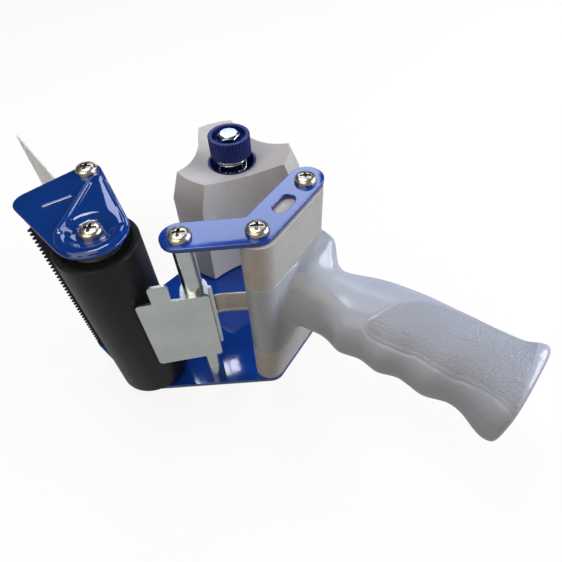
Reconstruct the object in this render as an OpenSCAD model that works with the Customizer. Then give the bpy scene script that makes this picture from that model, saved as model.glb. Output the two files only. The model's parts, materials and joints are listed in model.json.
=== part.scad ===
// Handheld dispenser for carton-sealing tape, lying on its side plate.
// Origin: hub axis, on the underside of the base plate. X runs along the
// handle's side, Y towards the hub's far side, Z up through the hub.

/* [Base plate and columns] */
// Thickness of the base plate
base_t = 2; // [1.8:0.1:3]
// Clear height between the base plate and the link bar
frame_h = 88.7; // [85:0.1:92]
// Radius of the base plate's pad under the hub
pad_r = 30; // [26:0.5:32]
// Distance from the hub axis to the base plate's slanted edge
edge_d = 8.6; // [6:0.1:12]
// Radius of the base plate's rounded heel beside the blade
heel_r = 6.4; // [4:0.1:7]
// Heel centre across the object
heel_x = -69; // [-71:0.1:-67]
// Heel centre along the object
heel_y = -70.5; // [-72:0.1:-69]
// Radius of the base plate's corner round the roller
toe_r = 12.3; // [11:0.1:14]
// Margin of the base plate outside the column
sole_lip = 0.3; // [0.2:0.1:2]

/* [Column] */
// Near bolt of the column, across the object
near_x = 15.8; // [14:0.1:18]
// Near bolt of the column, along the object
near_y = -92.5; // [-94:0.1:-91]
// Distance between the column's two bolts
bolt_gap = 32.4; // [30:0.1:35]
// Direction from the near bolt to the far bolt, in degrees
col_turn = 55.5; // [50:0.5:60]
// Half the column's thickness, which rounds its two ends
col_r = 7; // [6:0.1:7.5]
// Height of the column's lower spacer
low_h = 22.5; // [20:0.1:25]
// Height of the handle's eye between the two spacers
eye_h = 44; // [42:0.5:46]
// Radius of the tie rods inside the column
rod_r = 3.2; // [3:0.1:3.6]

/* [Link bar] */
// Thickness of the link bar
bar_t = 2; // [1.5:0.1:3]
// Half width of the link bar
bar_r = 6.9; // [6.2:0.1:8]
// Shift of the link bar's middle line towards the roll
bar_shift = 1.1; // [0:0.1:1.5]
// Reach of the link bar's far end past its bolt
bar_out = 1.9; // [0:0.1:3]
// Length of the link bar's slot
slot_len = 11; // [9:0.5:13]
// Width of the link bar's slot
slot_w = 5.6; // [5:0.2:7]

/* [Top plate] */
// Thickness of the top plate's sheet
top_t = 1.6; // [1.2:0.1:2]
// Height of the top plate's underside above the link bar's underside
top_lift = 1.1; // [0.8:0.1:2]
// Radius of the top plate's end over the roller
nose_r = 13.2; // [12:0.1:15]
// Radius of the top plate's corner at the corner post
horn_r = 5.5; // [5:0.1:7]
// Height of the pressed ridge
ridge_h = 0.9; // [0.5:0.1:1.1]
// Radius of the ridge round the roller screw
ridge_r = 12; // [11:0.1:12.5]
// Radius of the ridge's narrow end
ridge_tip_r = 2.6; // [2:0.1:3]
// Depth of the dish under the roller screw
dish_d = 1.9; // [1.5:0.1:2.2]
// Radius of the dish at its rim
dish_r = 9.4; // [8:0.1:10]
// Radius of the dish's flat floor
dish_floor_r = 6; // [5:0.1:7]

/* [Corner post] */
// Corner post across the object
corner_x = -51.9; // [-53:0.1:-51]
// Corner post along the object
corner_y = -53.5; // [-55:0.1:-52]
// Radius of the corner post
corner_r = 3.5; // [3:0.1:4]

/* [Roller] */
// Roller axis across the object
roller_x = -41.9; // [-43:0.1:-41]
// Roller axis along the object
roller_y = -88.9; // [-90:0.1:-88]
// Outer radius of the rubber sleeve
roller_r = 15.4; // [14.5:0.1:15.6]
// Wall of the rubber sleeve
sleeve_wall = 2.9; // [2:0.1:4]
// Wall of the plastic core
core_wall = 2.6; // [2:0.1:3.5]
// Radius of the roller axle
axle_r = 4; // [3.5:0.1:4.5]
// Length of each end bush
bush_len = 8; // [6:0.5:12]
// Space under the roller
roller_gap = 1.8; // [1:0.1:2.5]
// Room over the rubber sleeve, below the level of the link bar
roller_room = 1; // [0.8:0.1:3]
// Rounding of the sleeve's two ends
roller_round = 0.8; // [0.4:0.1:2]

/* [Guide post and tension plate] */
// Guide post across the object
post_x = -10.7; // [-12:0.1:-10]
// Guide post along the object
post_y = -93.8; // [-95:0.1:-93]
// Radius of the guide post
post_r = 3.9; // [3.5:0.1:4.1]
// Thickness of the tension plate's sheet
flag_t = 1.1; // [0.8:0.1:1.2]
// Reach of the tension plate from the post's axis towards the roller
flag_reach = 22.3; // [20:0.1:22.4]
// Lowest edge of the tension plate above the base plate
flag_z = 23.3; // [20:0.1:26]
// Height of the tension plate
flag_h = 41; // [36:0.5:44]
// Turn of the tension plate at rest, in degrees
flag_turn = 8.5; // [8.5:0.5:11]
// Width of the tension plate's upper tab
tab_w = 7.5; // [6:0.1:9]
// Height of the tension plate's upper tab
tab_h = 9; // [6:0.5:10]
// Distance from the post's axis to the tab's near side
tab_x = 8.4; // [7:0.1:10]
// Depth of the tension plate's side flange
flange_d = 3.9; // [3:0.1:4.5]
// Length of the flange's curled lip
lip_len = 1.8; // [1.2:0.1:2.5]

/* [Leaf spring] */
// Thickness of the leaf spring
leaf_t = 0.5; // [0.3:0.1:0.8]
// Width of the leaf spring
leaf_w = 12; // [9:0.5:14]
// Height of the leaf spring's lower edge above the base plate
leaf_z = 44; // [40:0.5:46]

/* [Blade and carrier] */
// Direction of the blade carrier's leg, in degrees
leg_turn = 31.2; // [28:0.5:34]
// Thickness of the blade carrier's sheet
carrier_t = 1.5; // [1:0.1:2]
// Length of the carrier's leg from its bend to its outer edge
leg_len = 18.6; // [17:0.1:19]
// Length of the carrier's tabs in the two plates
key_len = 10.5; // [8:0.1:12]
// Distance from the carrier's bend to the tabs
key_x = 2.2; // [2:0.1:4]
// Carrier's bend across the object
bend_x = -52; // [-53:0.1:-51]
// Carrier's bend along the object
bend_y = -68.1; // [-69:0.1:-67]
// Gap between the carrier's edges and the two plates
carrier_gap = 1.2; // [0.8:0.1:2]
// How far the upper tab stands out of the top plate
key_out = 0.1; // [0.1:0.1:1]
// Thickness of the blade
blade_t = 1; // [0.8:0.1:1.2]
// Width of the blade without its teeth
blade_w = 12; // [10:0.5:13]
// Room that the frame's clear height leaves above and below the blade
blade_room = 8.7; // [6:0.1:18]
// Pitch of the blade's teeth
tooth_pitch = 2; // [1.5:0.1:3]
// Depth of the blade's teeth
tooth_h = 1.8; // [1:0.1:2.5]
// Radius of the small screws that hold the blade
pin_r = 1.5; // [1.2:0.1:1.8]

/* [Flap] */
// Direction of the flap in plan, in degrees
flap_turn = 128.6; // [126:0.2:132]
// Thickness of the flap
flap_t = 0.6; // [0.4:0.1:1]
// Distance from the carrier's bend to the flap's free edge
flap_len = 70.6; // [60:0.5:75]
// Room that the frame's clear height leaves above and below the flap
flap_room = 8.7; // [6:0.1:18]
// Length of the carrier's wing that holds the flap
wing_len = 14; // [12:0.5:16]
// Width of the strip that clamps the flap
strip_w = 8; // [6:0.5:9]

/* [Hub] */
// Radius of the hub's lobes at the base, for a 76.2 mm core
hub_r = 37.5; // [36:0.1:38]
// Radius of the hub's lobes at the top edge
hub_top_r = 31; // [30:0.1:34]
// Half width of a lobe at the base
lobe_half = 10.8; // [9:0.1:12]
// Half width of a lobe at the top edge
lobe_top_half = 9.6; // [8:0.1:10.5]
// Least radius of the hub between its lobes at the base
waist_r = 21.8; // [20:0.1:24]
// Least radius of the hub between its lobes at the top
waist_top_r = 19.2; // [18:0.1:21]
// Height of the hub
hub_h = 62.3; // [60:0.1:66]
// Height of the tapered lead-in below the top edge
lead_h = 13.5; // [10:0.5:16]
// Space under the hub
hub_gap = 1.2; // [1:0.1:2]
// Depth of the dished top at its centre
dome_d = 6; // [4:0.5:7]
// Outer radius of the liner in the hub's top
liner_r = 13; // [12.5:0.1:14]
// Depth of the hub's centre pocket below the dished top
pocket_d = 15.5; // [14:0.1:18]
// Wall of the hub
hub_wall = 2.4; // [2:0.1:3]
// Direction of the hub's first lobe, in degrees
hub_turn = 109.9; // [0:0.1:120]

/* [Spindle and knob] */
// Outer radius of the spindle tube
spindle_r = 6; // [5.5:0.1:6.5]
// Radius of the spindle bolt's shank
bolt_r = 3; // [2.5:0.1:3.2]
// Radius of the knob
knob_r = 10.8; // [10:0.1:11.2]
// Height of the knob
knob_h = 10.5; // [9:0.1:12]
// Number of ribs on the knob
rib_count = 44; // [30:1:60]
// Depth of the knob's ribs
rib_d = 0.4; // [0.2:0.1:0.8]
// Width of the bolt head across its flats
hex_af = 10.6; // [9:0.1:11]
// Height of the bolt's head
hex_h = 6.5; // [5:0.1:7]
// Wire diameter of the brake spring
wire_d = 1.5; // [1.2:0.1:1.7]
// Mean radius of the brake spring
coil_r = 7.5; // [6.6:0.1:7.8]
// Number of turns of the brake spring
coil_turns = 3; // [2:1:3]
// Thickness of the two brake washers
washer_t = 1.2; // [0.8:0.1:1.5]

/* [Screws] */
// Radius of the screws' shanks
screw_r = 2; // [1.8:0.1:2.2]
// Radius of the pan heads
pan_r = 4.25; // [4:0.05:4.5]
// Height of the pan heads
pan_h = 2.8; // [2.2:0.1:3.2]
// Depth of the screws in the posts
screw_in = 11; // [8:0.5:14]

/* [Handle] */
// Distance from the column's centre line to the butt
grip_len = 98; // [90:1:104]
// Half the height of the grip
grip_half = 15; // [13:0.5:17]
// Half the width of the grip
grip_w = 18; // [16:0.5:20]

/* [Hidden] */

// Named clearances
over = 1;          // overrun of every cut past its face
fit = 0.05;        // radial running fit
press = 0.01;      // room between pieces pressed together
slip = 0.1;        // room round parts that are screwed together
near_gap = 0.3;    // room between parts that move past each other

// Turns, in degrees
half_turn = 180;
full_turn = 2 * half_turn;

// Steps of the round outlines
fine = 64;
steps = 12;

// Heights of the faces, from the base plate's underside
bar_z = base_t + frame_h;
bar_top = bar_z + bar_t;
top_z = bar_z + top_lift;
top_face = top_z + top_t;
dish_floor = top_face + ridge_h - dish_d;
axle_top = dish_floor - top_t;
eye_z = base_t + low_h;
eye_top = eye_z + eye_h;
mid_z = eye_z + eye_h / 2;

// Places in plan
near = [near_x, near_y];
far = near + bolt_gap * [cos(col_turn), sin(col_turn)];
roller = [roller_x, roller_y];
post = [post_x, post_y];
corner = [corner_x, corner_y];
heel = [heel_x, heel_y];
bend = [bend_x, bend_y];
col_mid = (near + far) / 2;

// Colours of the pieces
blue = "#163a96";
zinc = "#b9bec0";
grey = "#a9a5a3";
milk = "#d9dbe0";
black = "#26262a";
navy = "#1b2a63";
steel = "#9aa0a4";
tan_steel = "#8f8778";

// Points of an arc about c from angle a to angle b
function arc(c, r, a, b, n = steps) =
    [for (i = [0 : n]) c + r * [cos(a + (b - a) * i / n), sin(a + (b - a) * i / n)]];

// Direction of the outward normal of the tangent from circle p to circle q
function tangent(p, q) =
    let (d = [q[0] - p[0], q[1] - p[1]])
    atan2(d[1], d[0]) - acos((p[2] - q[2]) / norm(d));

// Outline of a belt round circles [x, y, r] listed anticlockwise
function belt(cs) =
    let (n = len(cs), t = [for (i = [0 : n - 1]) tangent(cs[i], cs[(i + 1) % n])])
    [for (i = [0 : n - 1])
        let (a = t[(i + n - 1) % n], turn = ((t[i] - a) % full_turn + full_turn) % full_turn)
        each arc([cs[i][0], cs[i][1]], cs[i][2], a, a + turn)];

// A circle of a belt at a place in plan
function ring(c, r) = [c[0], c[1], r];

// Unit vector in plan
function dir(a) = [cos(a), sin(a)];

// Ribbon of thickness t about a path in plan, mitred at its bends
function side(p, i, s, t) =
    let (n = len(p),
         a = i == 0 ? p[1] - p[0] : p[i] - p[i - 1],
         b = i == n - 1 ? a : p[i + 1] - p[i],
         u = a / norm(a), v = b / norm(b),
         m = [-u[1] - v[1], u[0] + v[0]])
    p[i] + s * t * m / (m * [-u[1], u[0]]) / 2;
function ribbon(p, t) =
    concat([for (i = [0 : len(p) - 1]) side(p, i, 1, t)],
           [for (i = [len(p) - 1 : -1 : 0]) side(p, i, -1, t)]);

// Rounded box outline from [x0, y0] to [x1, y1] with corner radius r
function rounded(x0, y0, x1, y1, r) =
    belt([[x0 + r, y0 + r, r], [x1 - r, y0 + r, r], [x1 - r, y1 - r, r], [x0 + r, y1 - r, r]]);

// Solid through equal rings of points, closed at both ends
module loft(rings) {
    n = len(rings[0]);
    m = len(rings);
    polyhedron(
        points = [for (r = rings) each r],
        faces = concat(
            [[for (i = [0 : n - 1]) i]],
            [for (j = [0 : m - 2], i = [0 : n - 1])
                each [[j * n + i, (j + 1) * n + i, (j + 1) * n + (i + 1) % n],
                      [j * n + i, (j + 1) * n + (i + 1) % n, j * n + (i + 1) % n]]],
            [[for (i = [n - 1 : -1 : 0]) (m - 1) * n + i]]));
}

module bore(c, r, z0, z1) {
    translate([c[0], c[1], z0]) cylinder(r = r, h = z1 - z0, $fn = fine);
}

module slab(points, z0, z1) {
    translate([0, 0, z0]) linear_extrude(z1 - z0) polygon(points);
}

module tube(c, r_out, r_in, z0, z1) {
    difference() {
        bore(c, r_out, z0, z1);
        bore(c, r_in, z0 - over, z1 + over);
    }
}

// A post with a tapped hole in each end
module tapped_post(c, r, z0, z1) {
    difference() {
        bore(c, r, z0, z1);
        bore(c, screw_r + fit, z0 - over, z0 + screw_in + slip);
        bore(c, screw_r + fit, z1 - screw_in - slip, z1 + over);
    }
}

// Blade carrier, blade and flap share the directions of the carrier's legs
leg = -dir(leg_turn);
wing = dir(flap_turn);
leg_side = [leg[1], -leg[0]];
key_clear = slip;

// Outline of the carrier's key in plan, with room g round it
function key(g) =
    let (a = bend + (key_x - g) * leg, b = bend + (key_x + key_len + g) * leg)
    ribbon([a, b], carrier_t + 2 * g);

// Countersink of the base screws
sink_r = 2 * screw_r;
sink_h = base_t;
flush = 0.05;
foot_places = [roller, post, corner, near, far];

module base_plate() {
    color(blue) difference() {
        union() {
            slab(belt([ring(roller, toe_r), ring(near, col_r + sole_lip),
                       ring(far, col_r + sole_lip), [0, 0, edge_d], ring(heel, heel_r)]), 0, base_t);
            bore([0, 0], pad_r, 0, base_t);
        }
        for (p = foot_places) {
            translate([p[0], p[1], 0])
                cylinder(r1 = sink_r + fit, r2 = screw_r + fit, h = sink_h, $fn = fine);
            bore(p, screw_r + fit, -over, base_t + over);
        }
        bore([0, 0], spigot_r + fit, -over, base_t + over);
        slab(key(key_clear), -over, base_t + over);
    }
}

ridge_tip_share = 0.83;
ridge_tip = roller + ridge_tip_share * (corner - roller) + (ridge_tip_r + ridge_h) * dir(0);
dish_wall = top_t;

module top_plate() {
    color(blue) difference() {
        union() {
            slab(belt([ring(roller, nose_r), ring(corner, horn_r), ring(heel, heel_r)]),
                 top_z, top_face);
            slab(belt([ring(roller, ridge_r), ring(ridge_tip, ridge_tip_r)]),
                 top_z, top_face + ridge_h);
            bore(roller, dish_floor_r + dish_wall, axle_top, top_face);
        }
        slab(belt([ring(roller, ridge_r - ridge_h), ring(ridge_tip, ridge_tip_r - ridge_h)]),
             top_z - over, top_z);
        difference() {
            slab(belt([ring(roller, ridge_r - ridge_h), ring(ridge_tip, ridge_tip_r - ridge_h)]),
                 top_z - over, top_z + ridge_h);
            bore(roller, dish_r, top_z - 2 * over, top_face);
        }
        translate([roller[0], roller[1], dish_floor])
            cylinder(r1 = dish_floor_r, r2 = dish_r, h = dish_d + fit, $fn = fine);
        bore(roller, screw_r + slip, axle_top - over, top_face + over);
        bore(corner, screw_r + slip, top_z - over, top_face + over);
        slab(key(key_clear), top_z - over, top_face + over);
    }
}

bar_lean = 60;      // direction of the bar's shift, from the column's own
bar_off = bar_shift * dir(col_turn + bar_lean);
slot_shift = 0.9;
slot_mid = col_mid + slot_shift * dir(col_turn);

module link_bar() {
    color(blue) difference() {
        union() {
            slab(belt([ring(post + bar_off, bar_r), ring(near + bar_off, bar_r)]), bar_z, bar_top);
            slab(belt([ring(near + bar_off, bar_r),
                       ring(far + bar_off + bar_out * dir(col_turn), bar_r)]), bar_z, bar_top);
        }
        for (p = [post, near, far])
            bore(p, screw_r + slip, bar_z - over, bar_top + over);
        slab(belt([for (s = [-1, 1])
                 ring(slot_mid + s * (slot_len - slot_w) / 2 * dir(col_turn), slot_w / 2)]),
             bar_z - over, bar_top + over);
    }
}

module column_piece(z0, z1) {
    difference() {
        slab(belt([ring(near, col_r), ring(far, col_r)]), z0, z1);
        for (p = [near, far])
            bore(p, rod_r + slip, z0 - over, z1 + over);
    }
}

module lower_spacer() {
    color(grey) column_piece(base_t, eye_z);
}

module upper_spacer() {
    color(grey) column_piece(eye_top, bar_z);
}

module tie_rods() {
    color(zinc) for (p = [near, far])
        tapped_post(p, rod_r, base_t, bar_z);
}

// Pan head screw with a cross recess, its seat at z
recess_w = 1;
recess_len = 4.6;
recess_d = 1.5;
pan_shares = [[0, 0], [1, 0], [1, 0.36], [0.95, 0.58], [0.84, 0.78], [0.62, 0.92],
              [0.32, 0.99], [0, 1]];

module pan_screw(c, z) {
    translate([c[0], c[1], z]) difference() {
        union() {
            translate([0, 0, -screw_in]) cylinder(r = screw_r, h = screw_in + fit, $fn = fine);
            rotate_extrude($fn = fine)
                polygon([for (q = pan_shares) [q[0] * pan_r, q[1] * pan_h]]);
        }
        for (a = [0, 90])
            rotate([0, 0, a]) translate([-recess_len / 2, -recess_w / 2, pan_h - recess_d])
                cube([recess_len, recess_w, recess_d + over]);
    }
}

module pan_screws() {
    color(steel) {
        pan_screw(roller, dish_floor);
        pan_screw(corner, top_face);
        for (p = [post, near, far])
            pan_screw(p, bar_top);
    }
}

module base_screw(c) {
    translate([c[0], c[1], flush]) difference() {
        union() {
            cylinder(r1 = sink_r - fit, r2 = screw_r, h = sink_h - flush, $fn = fine);
            cylinder(r = screw_r, h = base_t - flush + screw_in, $fn = fine);
        }
        for (a = [0, 90])
            rotate([0, 0, a]) translate([-recess_len / 2, -recess_w / 2, -over])
                cube([recess_len, recess_w, over + recess_d]);
    }
}

module base_screws() {
    color(steel) for (p = foot_places)
        base_screw(p);
}

// Guide post, with a groove for each clip
clip_t = 0.8;
clip_depth = 0.9;
clip_w = 1.4;
clip_r = post_r + clip_w;
ear_r = 5.4;
ear_step = 4;
ear_low = base_t + flag_z + ear_step;
ear_top = base_t + flag_z + flag_h - flag_t;
clip_z = ear_low - clip_t - near_gap;
clip_open = 83;     // half of its mouth, in degrees
clip_lag = 50;      // how far the mouth's middle is behind the plate
clip_turn = flag_turn - clip_lag;

module guide_post() {
    color(zinc) difference() {
        tapped_post(post, post_r, base_t, bar_z);
        tube(post, post_r + over, post_r - clip_depth, clip_z, clip_z + clip_t);
    }
}

module post_clip() {
    reach = 2 * clip_r;
    color(steel) difference() {
        bore(post, clip_r, clip_z + fit, clip_z + clip_t - fit);
        bore(post, post_r - clip_depth + fit, clip_z - over, clip_z + clip_t + over);
        slab(concat([post], [for (a = [-clip_open : clip_open / 2 : clip_open])
                 post + reach * dir(clip_turn + a)]), clip_z - over, clip_z + clip_t + over);
    }
}

// Tension plate: local frame has the post's axis at the origin
flag_front = post_r + near_gap + flag_t;
flag_z0 = base_t + flag_z;
flag_z1 = flag_z0 + flag_h;
flag_round = 1.6;
flange_low = 2;
flange_top = 1.2;
lip_turn = 30;
flange_z0 = flag_z0 + flange_low;
flange_z1 = flag_z1 - flange_top;

module tension_plate() {
    sheet_y = -flag_front + flag_t;
    color(zinc) translate([post[0], post[1], 0]) rotate([0, 0, flag_turn]) {
        translate([0, sheet_y, 0]) rotate([90, 0, 0]) linear_extrude(flag_t) {
            polygon(rounded(-flag_reach, flag_z0, ear_r, flag_z1, flag_round));
            polygon(rounded(-tab_x - tab_w, flag_z1 - 2 * flag_round, -tab_x,
                            flag_z1 + tab_h, flag_round));
        }
        for (z = [ear_low, ear_top]) difference() {
            slab(concat(arc([0, 0], ear_r, 0, half_turn), [[-ear_r, sheet_y], [ear_r, sheet_y]]),
                 z, z + flag_t);
            bore([0, 0], post_r + fit, z - over, z + flag_t + over);
        }
        slab(ribbon([[ear_r - flag_t / 2, sheet_y], [ear_r - flag_t / 2, sheet_y + flange_d],
                     [ear_r - flag_t / 2, sheet_y + flange_d] + lip_len * dir(lip_turn)], flag_t),
             flange_z0, flange_z1);
    }
}

// Leaf spring: from its slot in the handle's eye to the flange's lip
leaf_in = 3.6;
leaf_side = 2.1;
leaf_y = near_y + leaf_side;
leaf_seat = [near_x - sqrt(pow(col_r, 2) - pow(leaf_y - near_y, 2)), leaf_y];
leaf_z0 = base_t + leaf_z;
lip_a = post + [cos(flag_turn) * ear_r + sin(flag_turn) * (flag_front - flag_t - flange_d),
                sin(flag_turn) * ear_r - cos(flag_turn) * (flag_front - flag_t - flange_d)];
leaf_bear = [0.4, flag_t + near_gap + leaf_t];
leaf_end = lip_a + leaf_bear;
leaf_bow = [0, 0.6];
knee_share = 0.72;
leaf_knee = leaf_seat + knee_share * (leaf_end - leaf_seat) + leaf_bow;
leaf_path = [leaf_seat + [leaf_in, 0], leaf_seat, leaf_knee, leaf_end];

module leaf_spring() {
    color(tan_steel) slab(ribbon(leaf_path, leaf_t), leaf_z0, leaf_z0 + leaf_w);
}

// Roller
roller_z0 = base_t + roller_gap;
roller_z1 = bar_z - roller_room;
core_r = roller_r - sleeve_wall;
bush_r = core_r - core_wall;
collar = 0.7;

module roller_axle() {
    color(zinc) tapped_post(roller, axle_r, base_t, axle_top);
}

module roller_sleeve() {
    r = roller_round;
    color(black) translate([roller[0], roller[1], 0]) rotate_extrude($fn = fine)
        polygon(concat([[core_r + press, roller_z0], [roller_r - r, roller_z0]],
                       arc([roller_r - r, roller_z0 + r], r, -90, 0, 4),
                       arc([roller_r - r, roller_z1 - r], r, 0, 90, 4),
                       [[core_r + press, roller_z1]]));
}

module roller_core() {
    inset = near_gap;
    color(black) difference() {
        bore(roller, core_r, roller_z0 + inset, roller_z1 - inset);
        bore(roller, bush_r, roller_z0 - over, roller_z0 + bush_len);
        bore(roller, bush_r, roller_z1 - bush_len, roller_z1 + over);
        bore(roller, bush_r - core_wall / 2, roller_z0 - over, roller_z1 + over);
    }
}

module roller_bushes() {
    color(milk) {
        tube(roller, bush_r - press, axle_r + fit, roller_z0 - collar, roller_z0 + bush_len);
        tube(roller, bush_r - press, axle_r + fit, roller_z1 - bush_len, roller_z1 + collar);
    }
}

module corner_post() {
    color(zinc) tapped_post(corner, corner_r, base_t, top_z);
}

// Carrier, blade and flap
carrier_z0 = base_t + carrier_gap;
carrier_z1 = top_z - carrier_gap;
leg_end = bend + leg_len * leg;
blade_mid = (carrier_z0 + carrier_z1) / 2;
blade_lift = 1;
blade_len = frame_h - blade_room;
blade_z0 = blade_mid + blade_lift - blade_len / 2;
pin_share = 0.32;
pin_levels = [blade_mid - pin_share * blade_len, blade_mid + pin_share * blade_len];
pin_x = leg_len - blade_w / 2;

// Places along the leg and the wing, x from the bend and z up, lifted off the sheet
module on_leg(lift) {
    translate([bend[0], bend[1], 0]) rotate([0, 0, leg_turn + half_turn])
        translate([0, lift, 0]) rotate([90, 0, 0]) children();
}

module on_wing(lift) {
    translate([bend[0], bend[1], 0]) rotate([0, 0, flap_turn])
        translate([0, lift, 0]) rotate([90, 0, 0]) children();
}

module blade_carrier() {
    color(zinc) difference() {
        union() {
            slab(ribbon([leg_end, bend, bend + wing_len * wing], carrier_t), carrier_z0, carrier_z1);
            slab(key(0), flush, carrier_z0 + fit);
            slab(key(0), carrier_z1 - fit, top_face + key_out);
        }
        on_leg(0) for (z = pin_levels)
            translate([pin_x, z, -carrier_t]) cylinder(r = pin_r + slip, h = 2 * carrier_t, $fn = fine);
        on_wing(0) for (z = rivet_levels)
            translate([rivet_x, z, -carrier_t]) cylinder(r = pin_r + slip, h = 2 * carrier_t, $fn = fine);
    }
}

blade_off = carrier_t / 2;
blade_out = 1;
tooth_count = floor(blade_len / tooth_pitch);

module blade() {
    x0 = leg_len - blade_w + blade_out;
    x1 = leg_len + blade_out;
    color(steel) on_leg(blade_off + blade_t) difference() {
        linear_extrude(blade_t)
            polygon(concat([[x0, blade_z0]],
                           [for (i = [0 : tooth_count - 1]) each
                               [[x1, blade_z0 + i * tooth_pitch],
                                [x1 + tooth_h, blade_z0 + (i + 0.5) * tooth_pitch]]],
                           [[x1, blade_z0 + tooth_count * tooth_pitch],
                            [x0, blade_z0 + tooth_count * tooth_pitch]]));
        for (z = pin_levels)
            translate([pin_x, z, -over]) cylinder(r = pin_r + slip, h = blade_t + 2 * over, $fn = fine);
    }
}

pin_head_r = 2.6;
pin_head_h = 1.6;
nut_af = 5.5;
nut_h = 2.2;

module blade_screws() {
    color(steel) on_leg(blade_off + blade_t) for (z = pin_levels) translate([pin_x, z, 0]) {
        translate([0, 0, -pin_head_h]) cylinder(r = pin_head_r, h = pin_head_h, $fn = fine);
        cylinder(r = pin_r, h = blade_t + carrier_t + nut_h + fit, $fn = fine);
    }
}

module blade_nuts() {
    color(steel) on_leg(-carrier_t / 2) for (z = pin_levels) translate([pin_x, z, 0]) difference() {
        cylinder(r = nut_af / sqrt(3), h = nut_h, $fn = 6);
        translate([0, 0, -over]) cylinder(r = pin_r + fit, h = nut_h + 2 * over, $fn = fine);
    }
}

flap_drop = 2.6;
flap_z1 = top_z - carrier_gap - flap_drop;
flap_h = frame_h - flap_room;
flap_z0 = flap_z1 - flap_h;
flap_x0 = 4;
strip_edge = 0.6;
rivet_x = wing_len - strip_w / 2 - strip_edge;
rivet_shares = [0.14, 0.5, 0.86];
rivet_levels = [for (s = rivet_shares) flap_z0 + s * flap_h];
strip_t = 1.2;

module sheet_on_wing(x0, x1, z0, z1, t) {
    difference() {
        translate([x0, z0, 0]) cube([x1 - x0, z1 - z0, t]);
        for (z = rivet_levels)
            translate([rivet_x, z, -over]) cylinder(r = pin_r + slip, h = t + 2 * over, $fn = fine);
    }
}

module flap() {
    color(milk, 0.7) on_wing(carrier_t / 2 + flap_t)
        sheet_on_wing(flap_x0, flap_len, flap_z0, flap_z1, flap_t);
}

module flap_strip() {
    color(zinc) on_wing(carrier_t / 2 + flap_t + strip_t)
        sheet_on_wing(rivet_x - strip_w / 2, rivet_x + strip_w / 2, flap_z0, flap_z1, strip_t);
}

module flap_rivets() {
    stack = carrier_t + flap_t + strip_t;
    color(steel) on_wing(stack - carrier_t / 2) for (z = rivet_levels) translate([rivet_x, z, 0]) {
        cylinder(r = pin_r, h = stack, $fn = fine);
        translate([0, 0, -pin_head_h / 2]) cylinder(r = pin_head_r, h = pin_head_h / 2, $fn = fine);
        translate([0, 0, stack]) cylinder(r = pin_head_r, h = pin_head_h / 2, $fn = fine);
    }
}

// Hub and spindle
hub_z0 = base_t + hub_gap;
hub_z1 = hub_z0 + hub_h;
lead_z = hub_z1 - lead_h;
rim_z = hub_z1 - dome_d;
floor_z = rim_z - pocket_d;
liner_wall = 1.3;
liner_floor = 2;
bush_wall = 2;
spigot_step = 1;
spigot_r = spindle_r - spigot_step;
flange_w = 4;
flange_r = spindle_r + flange_w;
flange_t = hub_gap - near_gap;
tube_top = floor_z - near_gap;
lead_share = 0.16;
roof_t = 3.4;
roof_z = rim_z - roof_t;
hub_bore = spindle_r + bush_wall;
rib_start = hub_bore + hub_wall / 2;
rib_trim = 0.4;
rib_end = waist_r - hub_wall / 2 - rib_trim;

hub_steps = 10;
lobe_turn = 120;    // from one lobe to the next

// Outline of the hub: lobe radius r, lobe half width w, least radius m
function hub_outline(r, w, m) =
    let (a = asin(w / r), b = lobe_turn / 2 - a,
         d = (pow(r, 2) - pow(m, 2)) / (2 * (r * cos(b) - m)),
         q = d - m, g = asin(r * sin(b) / q))
    [for (k = [0 : 2]) let (f = hub_turn + lobe_turn * k)
        each concat([for (i = [0 : 3]) r * dir(f - a + 2 * a * i / 3)],
                    [for (i = [1 : hub_steps - 1])
                        let (t = f + lobe_turn / 2 + half_turn + g - 2 * g * i / hub_steps)
                        d * dir(f + lobe_turn / 2) + q * dir(t)])];

function hub_ring(r, w, m, z) = [for (p = hub_outline(r, w, m)) [p[0], p[1], z]];

function mix(a, b, s) = a + (b - a) * s;

module hub() {
    lead_r = mix(hub_r, hub_top_r, lead_share);
    lead_half = mix(lobe_half, lobe_top_half, lead_share);
    lead_m = mix(waist_r, waist_top_r, lead_share);
    rise_k = 1 + dome_d / lead_h;
    color(grey) difference() {
        union() {
            difference() {
                intersection() {
                    loft([hub_ring(hub_r, lobe_half, waist_r, hub_z0 - over),
                          hub_ring(lead_r, lead_half, lead_m, lead_z),
                          hub_ring(mix(lead_r, hub_top_r, rise_k), mix(lead_half, lobe_top_half, rise_k),
                                   mix(lead_m, waist_top_r, rise_k), hub_z1 + dome_d)]);
                    bore([0, 0], hub_r + over, hub_z0, hub_z1 + dome_d / 2);
                }
                slab(hub_outline(lead_r - hub_wall, lead_half - hub_wall, lead_m - hub_wall),
                     hub_z0 - over, lead_z - hub_wall);
                slab(hub_outline(hub_top_r - hub_wall, lobe_top_half - hub_wall,
                                 waist_top_r - hub_wall), lead_z - 2 * hub_wall, roof_z);
            }
            bore([0, 0], liner_r + hub_wall, floor_z - liner_floor - hub_wall, roof_z + fit);
            bore([0, 0], hub_bore + hub_wall, hub_z0 - fit, floor_z - liner_floor);
            for (k = [0 : 2]) rotate([0, 0, hub_turn + lobe_turn / 2 + lobe_turn * k])
                translate([rib_start, -hub_wall / 2, hub_z0 + rib_trim])
                    cube([rib_end - rib_start, hub_wall, roof_z - hub_z0]);
        }
        rotate_extrude($fn = fine)
            polygon([[0, hub_z0 - over], [hub_bore, hub_z0 - over], [hub_bore, floor_z - liner_floor],
                     [liner_r, floor_z - liner_floor], [liner_r, rim_z],
                     [2 * hub_top_r - liner_r, hub_z1 + dome_d], [0, hub_z1 + dome_d]]);
    }
}

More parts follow.
